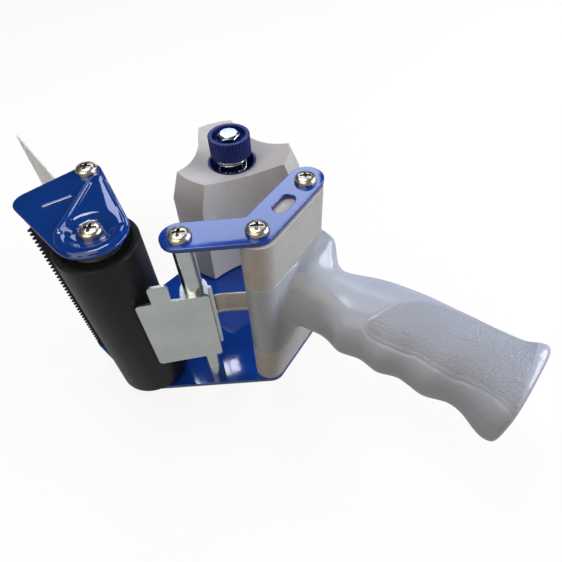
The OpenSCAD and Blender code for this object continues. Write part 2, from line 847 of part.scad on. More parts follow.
module hub_liner() {
    color(navy) difference() {
        bore([0, 0], liner_r - press, floor_z - liner_floor + press, rim_z);
        bore([0, 0], liner_r - liner_wall, floor_z, rim_z + over);
        bore([0, 0], spindle_r + fit, floor_z - liner_floor - over, floor_z + over);
    }
}

module hub_bush() {
    color(milk) tube([0, 0], hub_bore - press, spindle_r + fit, hub_z0, floor_z - liner_floor);
}

module spindle_tube() {
    color(zinc) difference() {
        union() {
            bore([0, 0], spigot_r, 0, base_t + fit);
            bore([0, 0], flange_r, base_t, base_t + flange_t);
            bore([0, 0], spindle_r, base_t, tube_top);
        }
        bore([0, 0], bolt_r + fit, base_t + bolt_end / 2, tube_top + over);
    }
}

// Brake stack above the hub's floor
bolt_end = 8;
low_washer_z = floor_z + slip;
coil_z0 = low_washer_z + washer_t;
knob_lift = 5;
knob_z0 = rim_z + knob_lift;
up_washer_z = knob_z0 - 2 * slip - washer_t;
coil_z1 = up_washer_z;
knob_z1 = knob_z0 + knob_h;
washer_room = 1;
washer_r = liner_r - liner_wall - washer_room;
cup_lip = 0.4;
cup_r = coil_r + wire_d + cup_lip;
knob_wall = 2.1;
well_r = knob_r - knob_wall;
hex_rise = 0.9;
hex_top = knob_z1 + hex_rise;
hex_z0 = hex_top - hex_h;
hex_shares = [[0, 0], [1, 0], [1, 0.5], [0.58, 0.8], [0.42, 1], [0, 1]];
well_share = 0.3;

module brake_washer() {
    color(steel) tube([0, 0], washer_r, bolt_r + near_gap, low_washer_z, low_washer_z + washer_t);
}

module spring_washer() {
    color(steel) tube([0, 0], cup_r, bolt_r + near_gap, up_washer_z, up_washer_z + washer_t);
}

module spindle_bolt() {
    color(steel) {
        bore([0, 0], bolt_r, base_t + bolt_end, hex_z0 + fit);
        intersection() {
            translate([0, 0, hex_z0]) cylinder(r = hex_af / sqrt(3), h = hex_h, $fn = 6);
            translate([0, 0, hex_z0]) rotate_extrude($fn = fine)
                polygon([for (q = hex_shares) [q[0] * hex_af, q[1] * hex_h]]);
        }
    }
}

module knob() {
    n = rib_count;
    hex_room = hex_af / sqrt(3) + slip;
    color(navy) difference() {
        slab([for (i = [0 : n - 1], s = [0, 1, 2, 3])
                 (knob_r - (s < 2 ? 0 : rib_d)) * dir(full_turn * (i + s / 4) / n)], knob_z0, knob_z1);
        bore([0, 0], well_r, hex_z0 + well_share * hex_h, knob_z1 + over);
        translate([0, 0, hex_z0]) cylinder(r = hex_room, h = hex_h, $fn = 6);
        bore([0, 0], bolt_r + fit, knob_z0 - over, knob_z1);
    }
}

// Brake spring: a tube along a path that is drawn flat and rolled round the
// axis. Both ends stand straight on the washers for one wire diameter.
spring_gap = slip;
coil_low = coil_z0 + spring_gap;
coil_high = coil_z1 - spring_gap;
bow_r = wire_d;
coil_run = 2 * PI * coil_r * coil_turns;
rise = coil_high - coil_low - 2 * (wire_d + bow_r);
slope = atan2(rise, coil_run);
bow_steps = 3;
coil_rings = 8 * coil_turns;
wire_sides = 6;

// Flat path of the wire: distance round the axis and height
low_half = concat(
    [[0, 0], [0, wire_d]],
    [for (i = [1 : bow_steps]) let (a = half_turn - (half_turn / 2 - slope) * i / bow_steps)
        [bow_r + bow_r * cos(a), wire_d + bow_r * sin(a)]]);
low_end = low_half[len(low_half) - 1];
span = [coil_run, coil_high - coil_low];
flat_path = concat(
    low_half,
    [for (i = [1 : coil_rings - 1]) low_end + (span - 2 * low_end) * i / coil_rings],
    [for (i = [len(low_half) - 1 : -1 : 0]) span - low_half[i]]);

function rolled(p, r) =
    let (a = p[0] / coil_r * half_turn / PI) [r * cos(a), r * sin(a), coil_low + p[1]];
function flat_dir(i) =
    let (n = len(flat_path), d = flat_path[min(i + 1, n - 1)] - flat_path[max(i - 1, 0)])
    d / norm(d);

coil_rows = [for (i = [0 : len(flat_path) - 1])
    let (p = flat_path[i], d = flat_dir(i), n = [-d[1], d[0]])
    [for (k = [0 : wire_sides - 1])
        let (a = full_turn * k / wire_sides, q = p + wire_d / 2 * sin(a) * n)
        rolled(q, coil_r + wire_d / 2 * cos(a))]];
coil_line = [for (p = flat_path) rolled(p, coil_r)];
least_gap = min([for (i = [0 : len(coil_line) - 1], j = [0 : len(coil_line) - 1])
    if (j - i > coil_rings / coil_turns / 2) norm(coil_line[i] - coil_line[j])]) - wire_d;
echo(brake_spring_least_gap = least_gap);

module brake_spring() {
    color(steel) loft(coil_rows);
}

// Handle: sections across u, the distance from the column's centre line
// [u share of the length, low edge, high edge, half height, squareness of the high
// side, lean, squareness of the low side, rise]; the edges are shares of grip_w,
// the half height and the rise are shares of grip_half
grip_shares = [
    [0.03, -0.95, 1.18, 1.465, 12, 0, 12, 0],
    [0.062, -0.93, 1.18, 1.465, 12, 0, 9, 0],
    [0.078, -0.84, 1.19, 1.42, 11, 0, 2.7, 0.03],
    [0.095, -0.76, 1.185, 1.36, 9, 0, 2.3, 0.08],
    [0.125, -0.68, 1.17, 1.27, 7, 0, 2.2, 0.13],
    [0.145, -0.65, 1.07, 1.19, 5, 0, 2.2, 0.12],
    [0.175, -0.61, 0.88, 1.12, 3.2, 0, 2.3, 0.06],
    [0.205, -0.57, 0.8, 1.08, 2.6, 0, 2.4, 0.02],
    [0.235, -0.57, 0.8, 1.07, 2.4, 0, 2.4, 0],
    [0.28, -0.66, 0.91, 1.03, 2.4, 0, 2.4, 0],
    [0.335, -0.81, 1.05, 1, 2.4, 0, 2.4, 0],
    [0.385, -0.78, 1.12, 1, 2.4, 0.01, 2.4, 0],
    [0.44, -0.74, 1.16, 1, 2.4, 0.02, 2.4, 0],
    [0.51, -0.85, 1.19, 1, 2.4, 0.03, 2.4, 0],
    [0.555, -0.8, 1.19, 1, 2.4, 0.04, 2.4, 0],
    [0.61, -0.73, 1.17, 1, 2.4, 0.05, 2.4, 0],
    [0.7, -0.85, 1.14, 1, 2.4, 0.08, 2.4, 0],
    [0.745, -0.83, 1.12, 1, 2.4, 0.1, 2.4, 0],
    [0.81, -0.73, 1.07, 1, 2.4, 0.12, 2.4, 0],
    [0.87, -0.78, 1.04, 1.01, 2.5, 0.14, 2.5, 0],
    [0.93, -0.96, 1.02, 1.03, 2.7, 0.145, 2.7, 0],
    [0.965, -1.04, 1.08, 1.05, 2.9, 0.14, 2.9, 0],
    [0.985, -1.05, 1.11, 1.05, 3, 0.14, 3, 0],
    [1.003, -1.04, 1.11, 1.03, 3, 0.14, 3, 0],
    [1.013, -1, 1.07, 0.98, 3, 0.14, 3, 0],
    [1.019, -0.92, 0.99, 0.9, 3, 0.14, 3, 0]];
grip_sides = 28;
between = 2;

// Smooth value between the rows of a table
function bezier(a, b, c, d, t) =
    0.5 * (2 * b + (c - a) * t + (2 * a - 5 * b + 4 * c - d) * pow(t, 2)
           + (3 * b - a - 3 * c + d) * pow(t, 3));
function smooth_rows(t, n) =
    [for (i = [0 : len(t) - 2], j = [0 : n - 1])
        bezier(t[max(i - 1, 0)], t[i], t[i + 1], t[min(i + 2, len(t) - 1)], j / n),
     t[len(t) - 1]];

// Signed power that squares a circle's section
function squared(x, e) = sign(x) * pow(abs(x), 2 / e);

function grip_ring(s) =
    let (lo = s[1] * grip_w, hi = s[2] * grip_w, hz = s[3] * grip_half, mid = s[7] * grip_half)
    [for (i = [0 : grip_sides - 1])
        let (a = full_turn * i / grip_sides,
             e = cos(a) > 0 ? s[4] : s[6],
             v = (lo + hi) / 2 + (hi - lo) / 2 * squared(cos(a), e),
             z = mid + hz * squared(sin(a), e))
        [s[0] * grip_len + s[5] * v, v, z]];

module handle() {
    color(milk) difference() {
        union() {
            slab(belt([ring(near, col_r), ring(far, col_r)]), eye_z, eye_top);
            translate([col_mid[0], col_mid[1], mid_z]) rotate([0, 0, col_turn - 90])
                loft([for (s = smooth_rows(grip_shares, between)) grip_ring(s)]);
        }
        for (p = [near, far])
            bore(p, rod_r + slip, eye_z - over, eye_top + over);
        slab(ribbon([leaf_seat - [over, 0], leaf_seat + [leaf_in + slip, 0]], leaf_t + 2 * slip),
             leaf_z0 - slip, leaf_z0 + leaf_w + slip);
    }
}

base_plate();
top_plate();
link_bar();
lower_spacer();
upper_spacer();
handle();
tie_rods();
pan_screws();
base_screws();
guide_post();
post_clip();
tension_plate();
leaf_spring();
roller_axle();
roller_core();
roller_sleeve();
roller_bushes();
corner_post();
blade_carrier();
blade();
blade_screws();
blade_nuts();
flap();
flap_strip();
flap_rivets();
spindle_tube();
hub();
hub_liner();
hub_bush();
brake_washer();
brake_spring();
spring_washer();
spindle_bolt();
knob();
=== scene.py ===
"""Looks of a handheld tape dispenser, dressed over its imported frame.

The dispenser lies on its side plate. Every piece takes its place from the frame, in metres, with
the hub's axis upright at the origin. Sizes of surface detail are written in millimetres.
"""

from __future__ import annotations

import json
import logging
import math
from collections.abc import Callable
from dataclasses import dataclass, field
from enum import Enum

import bpy
from mathutils import Matrix, Vector

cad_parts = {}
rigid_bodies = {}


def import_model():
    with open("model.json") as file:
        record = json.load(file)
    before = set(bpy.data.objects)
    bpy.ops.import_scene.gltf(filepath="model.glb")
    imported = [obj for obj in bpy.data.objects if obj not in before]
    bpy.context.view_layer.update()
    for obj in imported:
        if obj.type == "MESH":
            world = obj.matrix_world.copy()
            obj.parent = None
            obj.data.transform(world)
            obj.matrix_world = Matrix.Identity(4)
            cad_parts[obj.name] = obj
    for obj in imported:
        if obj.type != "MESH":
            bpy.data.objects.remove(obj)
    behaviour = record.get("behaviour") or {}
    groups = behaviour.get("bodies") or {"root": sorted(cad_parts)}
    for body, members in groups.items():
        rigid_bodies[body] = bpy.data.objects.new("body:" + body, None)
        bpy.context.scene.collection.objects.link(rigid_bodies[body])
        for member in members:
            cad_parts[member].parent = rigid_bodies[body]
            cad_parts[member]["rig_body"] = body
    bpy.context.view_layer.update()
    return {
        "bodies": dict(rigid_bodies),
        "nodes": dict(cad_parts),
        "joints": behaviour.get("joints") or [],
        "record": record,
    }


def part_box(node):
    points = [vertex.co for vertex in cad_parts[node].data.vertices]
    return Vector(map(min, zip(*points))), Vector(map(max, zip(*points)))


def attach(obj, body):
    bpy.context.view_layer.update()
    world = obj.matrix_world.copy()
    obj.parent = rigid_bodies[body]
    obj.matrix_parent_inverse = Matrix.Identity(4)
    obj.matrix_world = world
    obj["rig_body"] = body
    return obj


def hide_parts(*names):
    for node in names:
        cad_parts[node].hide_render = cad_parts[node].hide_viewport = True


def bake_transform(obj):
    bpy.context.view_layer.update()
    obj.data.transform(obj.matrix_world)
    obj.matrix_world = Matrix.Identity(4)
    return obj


LOG = logging.getLogger("dispenser")
MM = 0.001
# The picture's width in pixels.
PICTURE = 562
# Faces across a rounding that is wide enough to see.
ROUNDED = 3
# A colour mix takes its share and its two colours at these inputs, and gives them at this output.
MIX_SHARE, MIX_FIRST, MIX_SECOND, MIX_OUT = 0, 6, 7, 2

# The two ends of a line, as x and y of the one and x and y of the other, in millimetres.
Line = tuple[float, float, float, float]


class Slot(Enum):
    """The record's material slots."""

    BLUE = "plate_blue"
    ZINC = "zinc_plate"
    SCREW = "screw_steel"
    SPRING = "spring_steel"
    BRAKE = "brake_steel"
    SPACER = "spacer_grey"
    HANDLE = "handle_white"
    HUB = "hub_grey"
    BUSH = "bush_white"
    RUBBER = "roller_rubber"
    CORE_AND_END_SHADE = "core_black"
    BLADE = "blade_steel"
    FILM = "flap_film"
    KNOB = "knob_navy"


def linear(code: str) -> tuple[float, float, float, float]:
    """Turn an sRGB hex colour into the linear colour that shaders take.

    Args:
        code: the colour as "#rrggbb".

    Returns:
        Red, green, blue and alpha.
    """
    parts = [int(code[i:i + 2], 16) / 255 for i in (1, 3, 5)]
    light = [p / 12.92 if p <= 0.04045 else ((p + 0.055) / 1.055) ** 2.4 for p in parts]
    return (light[0], light[1], light[2], 1.0)


def clamp(value: float, low: float = 0.0) -> float:
    """Hold a value between low and one."""
    return min(max(value, low), 1)


def line_distance(x: float, y: float, line: Line) -> float:
    """Give the distance of a place from a line between two points.

    Args:
        x: the place's x, in millimetres.
        y: the place's y, in millimetres.
        line: the line's two ends.

    Returns:
        The distance, in millimetres.
    """
    ax, ay, bx, by = line
    dx, dy = bx - ax, by - ay
    share = clamp(((x - ax) * dx + (y - ay) * dy) / (dx * dx + dy * dy))
    return math.hypot(x - ax - share * dx, y - ay - share * dy)


def add_node(tree: bpy.types.NodeTree, kind: str, settings: dict | None = None,
             links: dict | None = None) -> bpy.types.Node:
    """Add one node with its settings, constants and links.

    Args:
        tree: the node tree of a material or world.
        kind: the node's type name.
        settings: properties by name, and constants by input name or number.
        links: outputs by the input name or number that they feed.

    Returns:
        The new node.
    """
    node = tree.nodes.new(kind)
    for name, value in (settings or {}).items():
        if isinstance(name, str) and hasattr(node, name):
            setattr(node, name, value)
        else:
            node.inputs[name].default_value = value
    for name, output in (links or {}).items():
        tree.links.new(output, node.inputs[name])
    return node


@dataclass(frozen=True)
class Finish:
    """A surface finish: its colours, gloss and the two patterns that every real surface has.

    The mottle is the slow change of colour and gloss over a face, and the grain the fine relief
    that the way of working left. A stretch below one draws both out along its axis.
    """

    title: str
    colour: str
    shade: str
    roughness: tuple[float, float]
    metallic: float = 0.0
    ior: float = 1.5
    coat: float = 0.0
    coat_roughness: float = 0.05
    mottle_mm: float = 6.0
    mottle_layers: float = 3.0
    gloss_patch: float = 0.6
    grain_mm: float = 0.6
    grain_depth_mm: float = 0.01
    grain_layers: float = 2.0
    noise_fall: float = 0.55
    noise_reach: tuple[float, float] = (0.3, 0.7)
    stretch: tuple[float, float, float] = (1.0, 1.0, 1.0)
    transmission: float = 0.0
    subsurface: float = 0.0
    scatter_mm: float = 2.0

    def coordinates(self, tree: bpy.types.NodeTree) -> bpy.types.NodeSocket:
        """Give the piece's own coordinates, stretched along the way the surface was worked.

        Args:
            tree: the material's node tree.

        Returns:
            The coordinates, in metres before the stretch.
        """
        spot = add_node(tree, "ShaderNodeTexCoord")
        turn = add_node(tree, "ShaderNodeMapping", {"Scale": self.stretch},
                        {"Vector": spot.outputs["Object"]})
        return turn.outputs["Vector"]

    def noise(self, tree: bpy.types.NodeTree, place: bpy.types.NodeSocket, size_mm: float,
              layers: float) -> bpy.types.NodeSocket:
        """Give a noise whose features are about size_mm across.

        Args:
            tree: the material's node tree.
            place: the coordinates it reads.
            size_mm: the size of a feature.
            layers: how many finer layers it has.

        Returns:
            The noise's value.
        """
        return add_node(tree, "ShaderNodeTexNoise",
                        {"Scale": 1 / (size_mm * MM), "Detail": layers,
                         "Roughness": self.noise_fall},
                        {"Vector": place}).outputs["Fac"]

    def spread(self, tree: bpy.types.NodeTree, value: bpy.types.NodeSocket,
               to: tuple[float, float], reach: tuple[float, float]) -> bpy.types.NodeSocket:
        """Map a value from one range to another.

        Args:
            tree: the material's node tree.
            value: the value.
            to: what the two ends of its range become.
            reach: the two ends of its range.

        Returns:
            The mapped value.
        """
        return add_node(tree, "ShaderNodeMapRange",
                        {"From Min": reach[0], "From Max": reach[1],
                         "To Min": to[0], "To Max": to[1]},
                        {"Value": value}).outputs["Result"]

    def tint(self, tree: bpy.types.NodeTree, place: bpy.types.NodeSocket) -> bpy.types.NodeSocket:
        """Give the surface colour, mottled between the finish's two colours.

        Args:
            tree: the material's node tree.
            place: the coordinates of the mottle.

        Returns:
            The colour.
        """
        mottle = self.noise(tree, place, self.mottle_mm, self.mottle_layers)
        share = self.spread(tree, mottle, (0.0, 1.0), self.noise_reach)
        mix = add_node(tree, "ShaderNodeMix", {"data_type": "RGBA"}, {MIX_SHARE: share})
        mix.inputs[MIX_FIRST].default_value = linear(self.colour)
        mix.inputs[MIX_SECOND].default_value = linear(self.shade)
        return mix.outputs[MIX_OUT]

    def recolour(self, tree: bpy.types.NodeTree, shader: bpy.types.Node,
                 share: bpy.types.NodeSocket, code: str) -> None:
        """Lay a share of another colour over the shader's surface colour.

        Args:
            tree: the material's node tree.
            shader: the surface's shader.
            share: how much of the other colour shows.
            code: the other colour as "#rrggbb".
        """
        face = shader.inputs["Base Color"].links[0].from_socket
        mix = add_node(tree, "ShaderNodeMix", {"data_type": "RGBA"},
                       {MIX_SHARE: share, MIX_FIRST: face})
        mix.inputs[MIX_SECOND].default_value = linear(code)
        tree.links.new(mix.outputs[MIX_OUT], shader.inputs["Base Color"])

    def relief(self, tree: bpy.types.NodeTree,
               place: bpy.types.NodeSocket) -> bpy.types.NodeSocket:
        """Give the bumped normal of the surface's grain.

        Args:
            tree: the material's node tree.
            place: the coordinates of the grain.

        Returns:
            The normal.
        """
        height = self.noise(tree, place, self.grain_mm, self.grain_layers)
        return add_node(tree, "ShaderNodeBump",
                        {"Strength": 1.0, "Distance": self.grain_depth_mm * MM},
                        {"Height": height}).outputs["Normal"]

    def extra(self, tree: bpy.types.NodeTree, shader: bpy.types.Node) -> None:
        """Add what only one kind of finish has. A plain finish adds nothing."""

    def material(self) -> bpy.types.Material:
        """Make the material once and give it back each time it is asked for.

        Returns:
            The material.
        """
        made = bpy.data.materials.get(self.title)
        if made is not None:
            return made
        made = bpy.data.materials.new(self.title)
        made.use_nodes = True
        tree = made.node_tree
        tree.nodes.clear()
        place = self.coordinates(tree)
        patches = self.noise(tree, place, self.mottle_mm * self.gloss_patch, self.mottle_layers)
        shader = add_node(tree, "ShaderNodeBsdfPrincipled",
                          {"Metallic": self.metallic, "IOR": self.ior, "Coat Weight": self.coat,
                           "Coat Roughness": self.coat_roughness,
                           "Transmission Weight": self.transmission,
                           "Subsurface Weight": self.subsurface,
                           "Subsurface Scale": self.scatter_mm * MM},
                          {"Base Color": self.tint(tree, place),
                           "Roughness": self.spread(tree, patches, self.roughness,
                                                    self.noise_reach),
                           "Normal": self.relief(tree, place)})
        self.extra(tree, shader)
        add_node(tree, "ShaderNodeOutputMaterial", {}, {"Surface": shader.outputs["BSDF"]})
        return made


@dataclass(frozen=True)
class Enamel(Finish):
    """Stoved enamel on sheet steel: a wet gloss, and a painted highlight of livelier blue on the
    edges.
    """

    # Painted highlight: a livelier blue laid along the edges, where they catch the light.
    edge_highlight: str = "#0a3fa6"
    edge_highlight_share: float = 0.8
    edge_bend: tuple[float, float] = (0.505, 0.56)

    def extra(self, tree: bpy.types.NodeTree, shader: bpy.types.Node) -> None:
        """Paint a highlight of livelier blue along the rolled edges, where they catch the light.

        Args:
            tree: the material's node tree.
            shader: the surface's shader.
        """
        bend = add_node(tree, "ShaderNodeNewGeometry").outputs["Pointiness"]
        share = self.spread(tree, bend, (0.0, self.edge_highlight_share), self.edge_bend)
        self.recolour(tree, shader, share, self.edge_highlight)


@dataclass(frozen=True)
class Recessed(Finish):
    """Plated metal with dark recesses, where the room's light hardly comes."""

    # Painted shade: the colour laid into the recesses, where light hardly comes.
    dark: str = "#1d1a17"
    hollow_bend: tuple[float, float] = (0.45, 0.497)

    def extra(self, tree: bpy.types.NodeTree, shader: bpy.types.Node) -> None:
        """Paint shade into the hollows of the cross recess.

        Args:
            tree: the material's node tree.
            shader: the surface's shader.
        """
        bend = add_node(tree, "ShaderNodeNewGeometry").outputs["Pointiness"]
        share = self.spread(tree, bend, (1.0, 0.0), self.hollow_bend)
        self.recolour(tree, shader, share, self.dark)


@dataclass(frozen=True)
class Grained(Finish):
    """Glossy moulded plastic with a leather-grained panel, where the mesh says how much."""

    leather_mm: float = 0.95
    leather_depth_mm: float = 0.22
    pebble_softness: float = 0.3
    pebble_scatter: float = 0.85
    # Painted shade: the panel is darkened towards this colour as the shade between its pebbles.
    grain_shadow: str = "#888b94"
    grain_shadow_share: float = 0.7
    panel_rougher: float = 0.2

    def panel(self, tree: bpy.types.NodeTree) -> bpy.types.NodeSocket:
        """Read from the mesh how much of the panel is at a point."""
        return add_node(tree, "ShaderNodeAttribute", {"attribute_name": "panel"}).outputs["Fac"]

    def relief(self, tree: bpy.types.NodeTree,
               place: bpy.types.NodeSocket) -> bpy.types.NodeSocket:
        """Give the fine relief of the mould, with the leather grain inside the panel.

        Args:
            tree: the material's node tree.
            place: the coordinates of both grains.

        Returns:
            The normal.
        """
        fine = super().relief(tree, place)
        pebbles = add_node(tree, "ShaderNodeTexVoronoi",
                           {"feature": "SMOOTH_F1", "Scale": 1 / (self.leather_mm * MM),
                            "Smoothness": self.pebble_softness,
                            "Randomness": self.pebble_scatter},
                           {"Vector": place}).outputs["Distance"]
        height = add_node(tree, "ShaderNodeMath", {"operation": "MULTIPLY"},
                          {0: pebbles, 1: self.panel(tree)}).outputs["Value"]
        return add_node(tree, "ShaderNodeBump",
                        {"Strength": 1.0, "Distance": -self.leather_depth_mm * MM},
                        {"Height": height, "Normal": fine}).outputs["Normal"]

    def extra(self, tree: bpy.types.NodeTree, shader: bpy.types.Node) -> None:
        """Make the grained panel less glossy than the plain plastic round it, and paint it darker
        as the shade between the grain's pebbles.

        Args:
            tree: the material's node tree.
            shader: the surface's shader.
        """
        plain = shader.inputs["Roughness"].links[0].from_socket
        panel = self.panel(tree)
        rougher = add_node(tree, "ShaderNodeMath",
                           {"operation": "MULTIPLY_ADD", 1: self.panel_rougher},
                           {0: panel, 2: plain}).outputs["Value"]
        tree.links.new(rougher, shader.inputs["Roughness"])
        share = add_node(tree, "ShaderNodeMath", {"operation": "MULTIPLY", 1: self.grain_shadow_share},
                         {0: panel}).outputs["Value"]
        self.recolour(tree, shader, share, self.grain_shadow)


# A pixel of the picture covers about half a millimetre of the part. A grain that is much finer in
# reality is drawn at 0.3 to 0.9 mm, so that it still breaks up the highlights, and its comment
# says so. Stretch draws such marks out along the way the tool went.

# Blue enamel, sprayed on sheet steel and stoved: a deep even blue under a wet, nearly flat mirror,
# in which windows show sharp. Its orange peel, 2.4 mm from crest to crest, has its real size.
ENAMEL = Enamel("stoved_blue_enamel", "#073072", "#062b68", (0.04, 0.07), coat=0.35,
                coat_roughness=0.03, mottle_mm=30, grain_mm=2.4, grain_depth_mm=0.009)
# Sheet steel, zinc plated in a bright bath: a pale metal that blurs the room into soft greys. The
# crystals of the plating, some hundredths of a millimetre, are drawn coarser.
ZINC = Finish("bright_zinc_plating", "#dfe4e2", "#d0d7d5", (0.2, 0.3), metallic=1.0,
              mottle_mm=16, grain_mm=0.8, grain_depth_mm=0.0008)
# Steel bar, turned and zinc plated: fine rings round each post draw its highlights out upwards.
# The tool's marks, about 0.1 mm apart, are drawn coarser.
TURNED = Finish("turned_and_zinc_plated", "#dce1e3", "#ccd3d5", (0.16, 0.24), metallic=1.0,
                mottle_mm=5, grain_mm=0.9, grain_depth_mm=0.005, stretch=(0.15, 0.15, 2.2))
# Steel screws, headed and nickel plated: a bright metal with white reflections, a painted brown
# reflection in its mottle and a cross of painted shade. The marks of the barrel they were plated in
# are drawn coarser.
SCREW = Recessed("nickel_plated_screw", "#cfcecb", "#c3b698", (0.23, 0.32), metallic=1.0,
                 mottle_mm=2.6, grain_mm=0.35, grain_depth_mm=0.004)
# Spring steel, rolled to strip and tempered: a satin tan with faint lines along the strip. The
# marks of the rolls are drawn coarser.
LEAF = Finish("blued_strip_steel", "#c8bdac", "#b1a695", (0.3, 0.42), metallic=1.0,
              mottle_mm=4, grain_mm=0.5, grain_depth_mm=0.005, stretch=(0.2, 0.2, 2.5))
# Spring wire, drawn and bright plated: nearly a mirror, so that coils and washers show as narrow
# light and dark bands. The marks of the drawing die are drawn coarser.
WIRE = Finish("bright_spring_wire", "#d6dade", "#b4bbc2", (0.1, 0.2), metallic=1.0,
              mottle_mm=2, grain_mm=0.3, grain_depth_mm=0.004)
# Nylon, moulded in a blasted mould: a matt warm grey without sharp highlights. The mould's
# texture, about 0.1 mm, is drawn coarser.
SPACER = Finish("matt_moulded_nylon", "#aca9a6", "#a29f9c", (0.42, 0.55), mottle_mm=9,
                grain_mm=0.5, grain_depth_mm=0.022)
# ABS, moulded in a finely blasted mould: a satin grey, on which the lobes' faces step from light
# to dark. The mould's texture, below 0.1 mm, is drawn coarser.
HUBGREY = Finish("satin_moulded_abs", "#b3b0af", "#aaa7a6", (0.36, 0.48), mottle_mm=14,
                 grain_mm=0.45, grain_depth_mm=0.016)
# Plastic, moulded in a polished mould: a cool pale grey with broad soft highlights, and light
# that creeps a little into thin ridges. The leather grain of the panel was etched into the mould.
# Its pebbles, about half a millimetre, are drawn at 0.95 mm, or a pixel would swallow them.
HANDLE = Grained("gloss_moulded_grip", "#a0a6b1", "#9aa0ab", (0.17, 0.24), ior=1.42,
                 mottle_mm=25, grain_mm=3.0, grain_depth_mm=0.005, subsurface=0.04)
# Acetal, moulded: the even off-white of a bearing, with a waxy satin skin. The mould's texture is
# drawn coarser.
BUSH = Finish("white_acetal", "#b9b9b5", "#adada9", (0.35, 0.5), mottle_mm=6, grain_mm=0.4,
              grain_depth_mm=0.01)
# Rubber, moulded on its tube and ground round: a soft black with one broad grey sheen along the
# roller. The marks of the grinding wheel, about 0.1 mm, are drawn coarser.
RUBBER = Finish("ground_black_rubber", "#1c1b1d", "#151416", (0.32, 0.42), ior=1.36, mottle_mm=8,
                grain_mm=0.5, grain_depth_mm=0.012, stretch=(1.0, 1.0, 0.35))
# Zinc-plated sheet where the shear cut it: duller and rougher than its face, so that the key in
# the top plate shows as a pale line. The tears of the shear are drawn coarser.
SHEARED = Finish("sheared_zinc_edge", "#c3c8c7", "#b1b6b5", (0.5, 0.6), metallic=0.6, mottle_mm=3,
                 grain_mm=0.3, grain_depth_mm=0.01)
# Black plastic, extruded as a tube and sawn off: a dull black. The rubber's end face round it gets
# the same black as painted shade, which keeps the roller's end dark. The marks of the saw are drawn
# coarser.
CORE_AND_END_SHADE = Finish("black_core_and_end_shade", "#0d0d0e", "#09090a", (0.6, 0.75), ior=1.3, mottle_mm=6,
              grain_mm=0.4, grain_depth_mm=0.012)
# Blade steel, punched: drawn dark as painted shade of the teeth, which stand against the light,
# with a thin grey sheen. Its fine surface is drawn coarser.
BLADE = Finish("dark_shaded_blade_steel", "#26262a", "#3a3a3e", (0.3, 0.45), metallic=0.7,
               mottle_mm=3, grain_mm=0.35, grain_depth_mm=0.006, stretch=(1.0, 1.0, 0.4))
# Plastic film, rolled between frosted rollers: milky, and lets the floor's light through without
# showing what is behind it. The frosting, about 0.05 mm, is drawn coarser.
FILM = Finish("frosted_wiper_film", "#f5f7f7", "#edf0f0", (0.32, 0.45), ior=1.46, mottle_mm=10,
              grain_mm=0.35, grain_depth_mm=0.012, transmission=0.52)
# Navy plastic, moulded: an even satin that leaves a small light line on each rib. The mould's
# texture is drawn coarser.
NAVY = Finish("navy_moulded_knob", "#0c2368", "#0a1d5a", (0.32, 0.44), ior=1.36, mottle_mm=6,
              grain_mm=0.4, grain_depth_mm=0.01)


def only(piece: bpy.types.Object) -> None:
    """Select one object alone and make it active.

    Args:
        piece: the object.
    """
    if bpy.context.object is not None and bpy.context.object.mode != "OBJECT":
        bpy.ops.object.mode_set(mode="OBJECT")
    bpy.ops.object.select_all(action="DESELECT")
    piece.select_set(True)
    bpy.context.view_layer.objects.active = piece


def apply_all(piece: bpy.types.Object) -> None:
    """Apply every modifier of a piece, in order.

    Args:
        piece: the piece.
    """
    only(piece)
    for modifier in list(piece.modifiers):
        bpy.ops.object.modifier_apply(modifier=modifier.name)


def smooth_shading(piece: bpy.types.Object, angle: float) -> None:
    """Shade a piece smooth, but for edges sharper than an angle in degrees."""
    only(piece)
    bpy.ops.object.shade_smooth_by_angle(angle=math.radians(angle))


